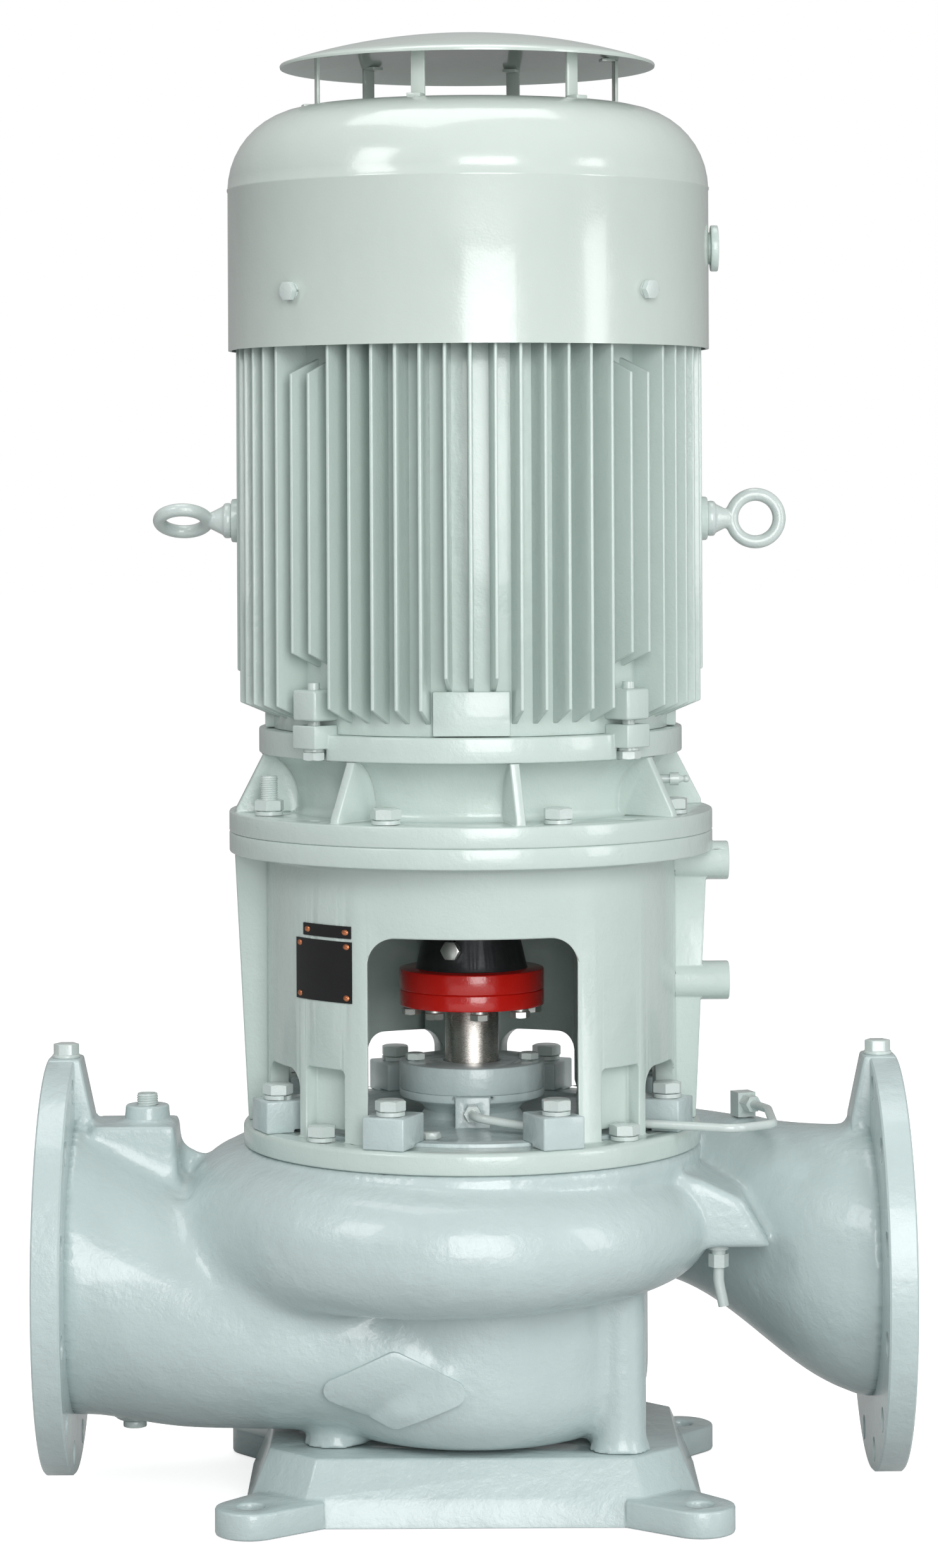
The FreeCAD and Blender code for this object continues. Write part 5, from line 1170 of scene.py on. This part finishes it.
def makeFanCover():
    outside, inside = coverOutline(0.0), coverOutline(coverSet["sheet"])
    bead = [(coverSet["radius"] + out, coverSet["beadAt"] + up) for out, up in coverSet["bead"]]
    profile = [outside[0]] + bead + outside[2:] + inside[::-1]
    thing = lathe("fanCover", profile, coverSet["steps"])
    shadeByAngle(thing, 40)
    handOver(thing, "fan_cover", paint="sheetPaint")


def makeCanopy():
    values = canopySet
    rise = values["top"] - values["rim"] - values["sheet"]
    sphere = (values["radius"] ** 2 + rise ** 2) / (2 * rise)
    upper, lower = [], []
    for i in range(values["rings"] + 1):
        radius = values["radius"] * i / values["rings"]
        height = values["top"] - sphere + math.sqrt(sphere ** 2 - radius ** 2)
        upper.append((radius, height))
        lower.append((radius, height - values["sheet"]))
    edge = upper[-1]
    rim = [(edge[0] - 0.0006, edge[1]), (edge[0], edge[1] - 0.0012),
           (edge[0] - 0.0004, edge[1] - values["sheet"])]
    outline = upper[:-1] + rim + lower[:-1][::-1]
    thing = lathe("rainCanopy", outline, values["steps"], False)
    shadeByAngle(thing, 50)
    handOver(thing, "rain_canopy", paint="sheetPaint")


def makeStraps():
    strap = joined("strap", [slab(name, low, high, strapRow["edge"])
                             for name, (low, high) in strapSet.items()])
    shadeByAngle(strap)
    row = aroundShaft("straps", strap, strapRow["count"], strapRow["phase"], "sheetPaint")
    handOver(row, "canopy_straps")


makeFanCover()
makeCanopy()
makeStraps()
print("cover and canopy ready")


# Floor, backdrop and light
studioSet = {
    "floorLevel": -0.0005,
    "worldStrength": 0.36,
    "floorSize": 60.0,
    "floorColour": (0.86, 0.87, 0.87, 1),
    "floorBounce": (0.34, 0.35, 0.35, 1),
    "floorRoughness": 0.7,
    "floorGlow": 0.72,
}
lampSet = {  # place, aim, width, height, power
    "leftWindow": ((-2.6, -2.4, 3.0), (0, 0, 0.9), 1.2, 1.5, 34.0),
    "frontStrip": ((0.70, -4.2, 1.7), (0, 0, 0.6), 1.9, 3.0, 128.0),
    "rightStrip": ((3.2, -1.8, 1.5), (0, 0, 0.7), 0.8, 2.4, 34.0),
    "topBank": ((-0.2, 0.3, 3.6), (0, 0, 0.9), 2.2, 1.6, 34.0),
}


def makeLamp(name, place, aim, width, height, power):
    data = bpy.data.lights.new(name, "AREA")
    data.shape = "RECTANGLE"
    data.size, data.size_y = width, height
    data.energy = power
    lamp = newObject(name, data)
    lamp.location = place
    direction = Vector(aim) - Vector(place)
    lamp.rotation_mode = "QUATERNION"
    lamp.rotation_quaternion = direction.to_track_quat("-Z", "Y")


def makeWorld():
    world = bpy.data.worlds.new("studio")
    world.use_nodes = True
    bpy.context.scene.world = world
    tree = world.node_tree
    background = tree.nodes["Background"]
    background.inputs["Color"].default_value = (1, 1, 1, 1)
    rays = tree.nodes.new("ShaderNodeLightPath").outputs
    seen = mathOf(tree, "MAXIMUM", rays["Is Camera Ray"], rays["Is Transmission Ray"])
    strength = addNode(tree, "ShaderNodeMapRange", **{
        "To Min": studioSet["worldStrength"], "To Max": 1.0})
    tree.links.new(seen, strength.inputs["Value"])
    tree.links.new(strength.outputs["Result"], background.inputs["Strength"])


def makeFloor():
    half, level = studioSet["floorSize"] / 2, studioSet["floorLevel"]
    mesh = bpy.data.meshes.new("floor")
    mesh.from_pydata([(-half, -half, level), (half, -half, level), (half, half, level),
                      (-half, half, level)], [], [(0, 1, 2, 3)])
    floor = newObject("floor", mesh)
    material, shader = newMaterial("paleFloor")
    tree = material.node_tree
    shader.inputs["Roughness"].default_value = studioSet["floorRoughness"]
    rays = tree.nodes.new("ShaderNodeLightPath").outputs
    mirrored = mathOf(tree, "MAXIMUM", rays["Is Glossy Ray"], rays["Is Transmission Ray"])
    seen = mathOf(tree, "MAXIMUM", rays["Is Camera Ray"], mirrored)
    colour = addNode(tree, "ShaderNodeMix", data_type="RGBA")
    tree.links.new(seen, colour.inputs["Factor"])
    colour.inputs[6].default_value = studioSet["floorBounce"]
    colour.inputs[7].default_value = studioSet["floorColour"]
    tree.links.new(colour.outputs[2], shader.inputs["Base Color"])
    glow = mathOf(tree, "MULTIPLY", rays["Is Camera Ray"], studioSet["floorGlow"])
    shader.inputs["Emission Color"].default_value = (1, 1, 1, 1)
    tree.links.new(glow, shader.inputs["Emission Strength"])
    mesh.materials.append(material)


def makeStudio():
    makeWorld()
    makeFloor()
    for name, values in lampSet.items():
        makeLamp(name, *values)
    bpy.context.scene.view_settings.view_transform = "Standard"


makeStudio()
print("studio ready")
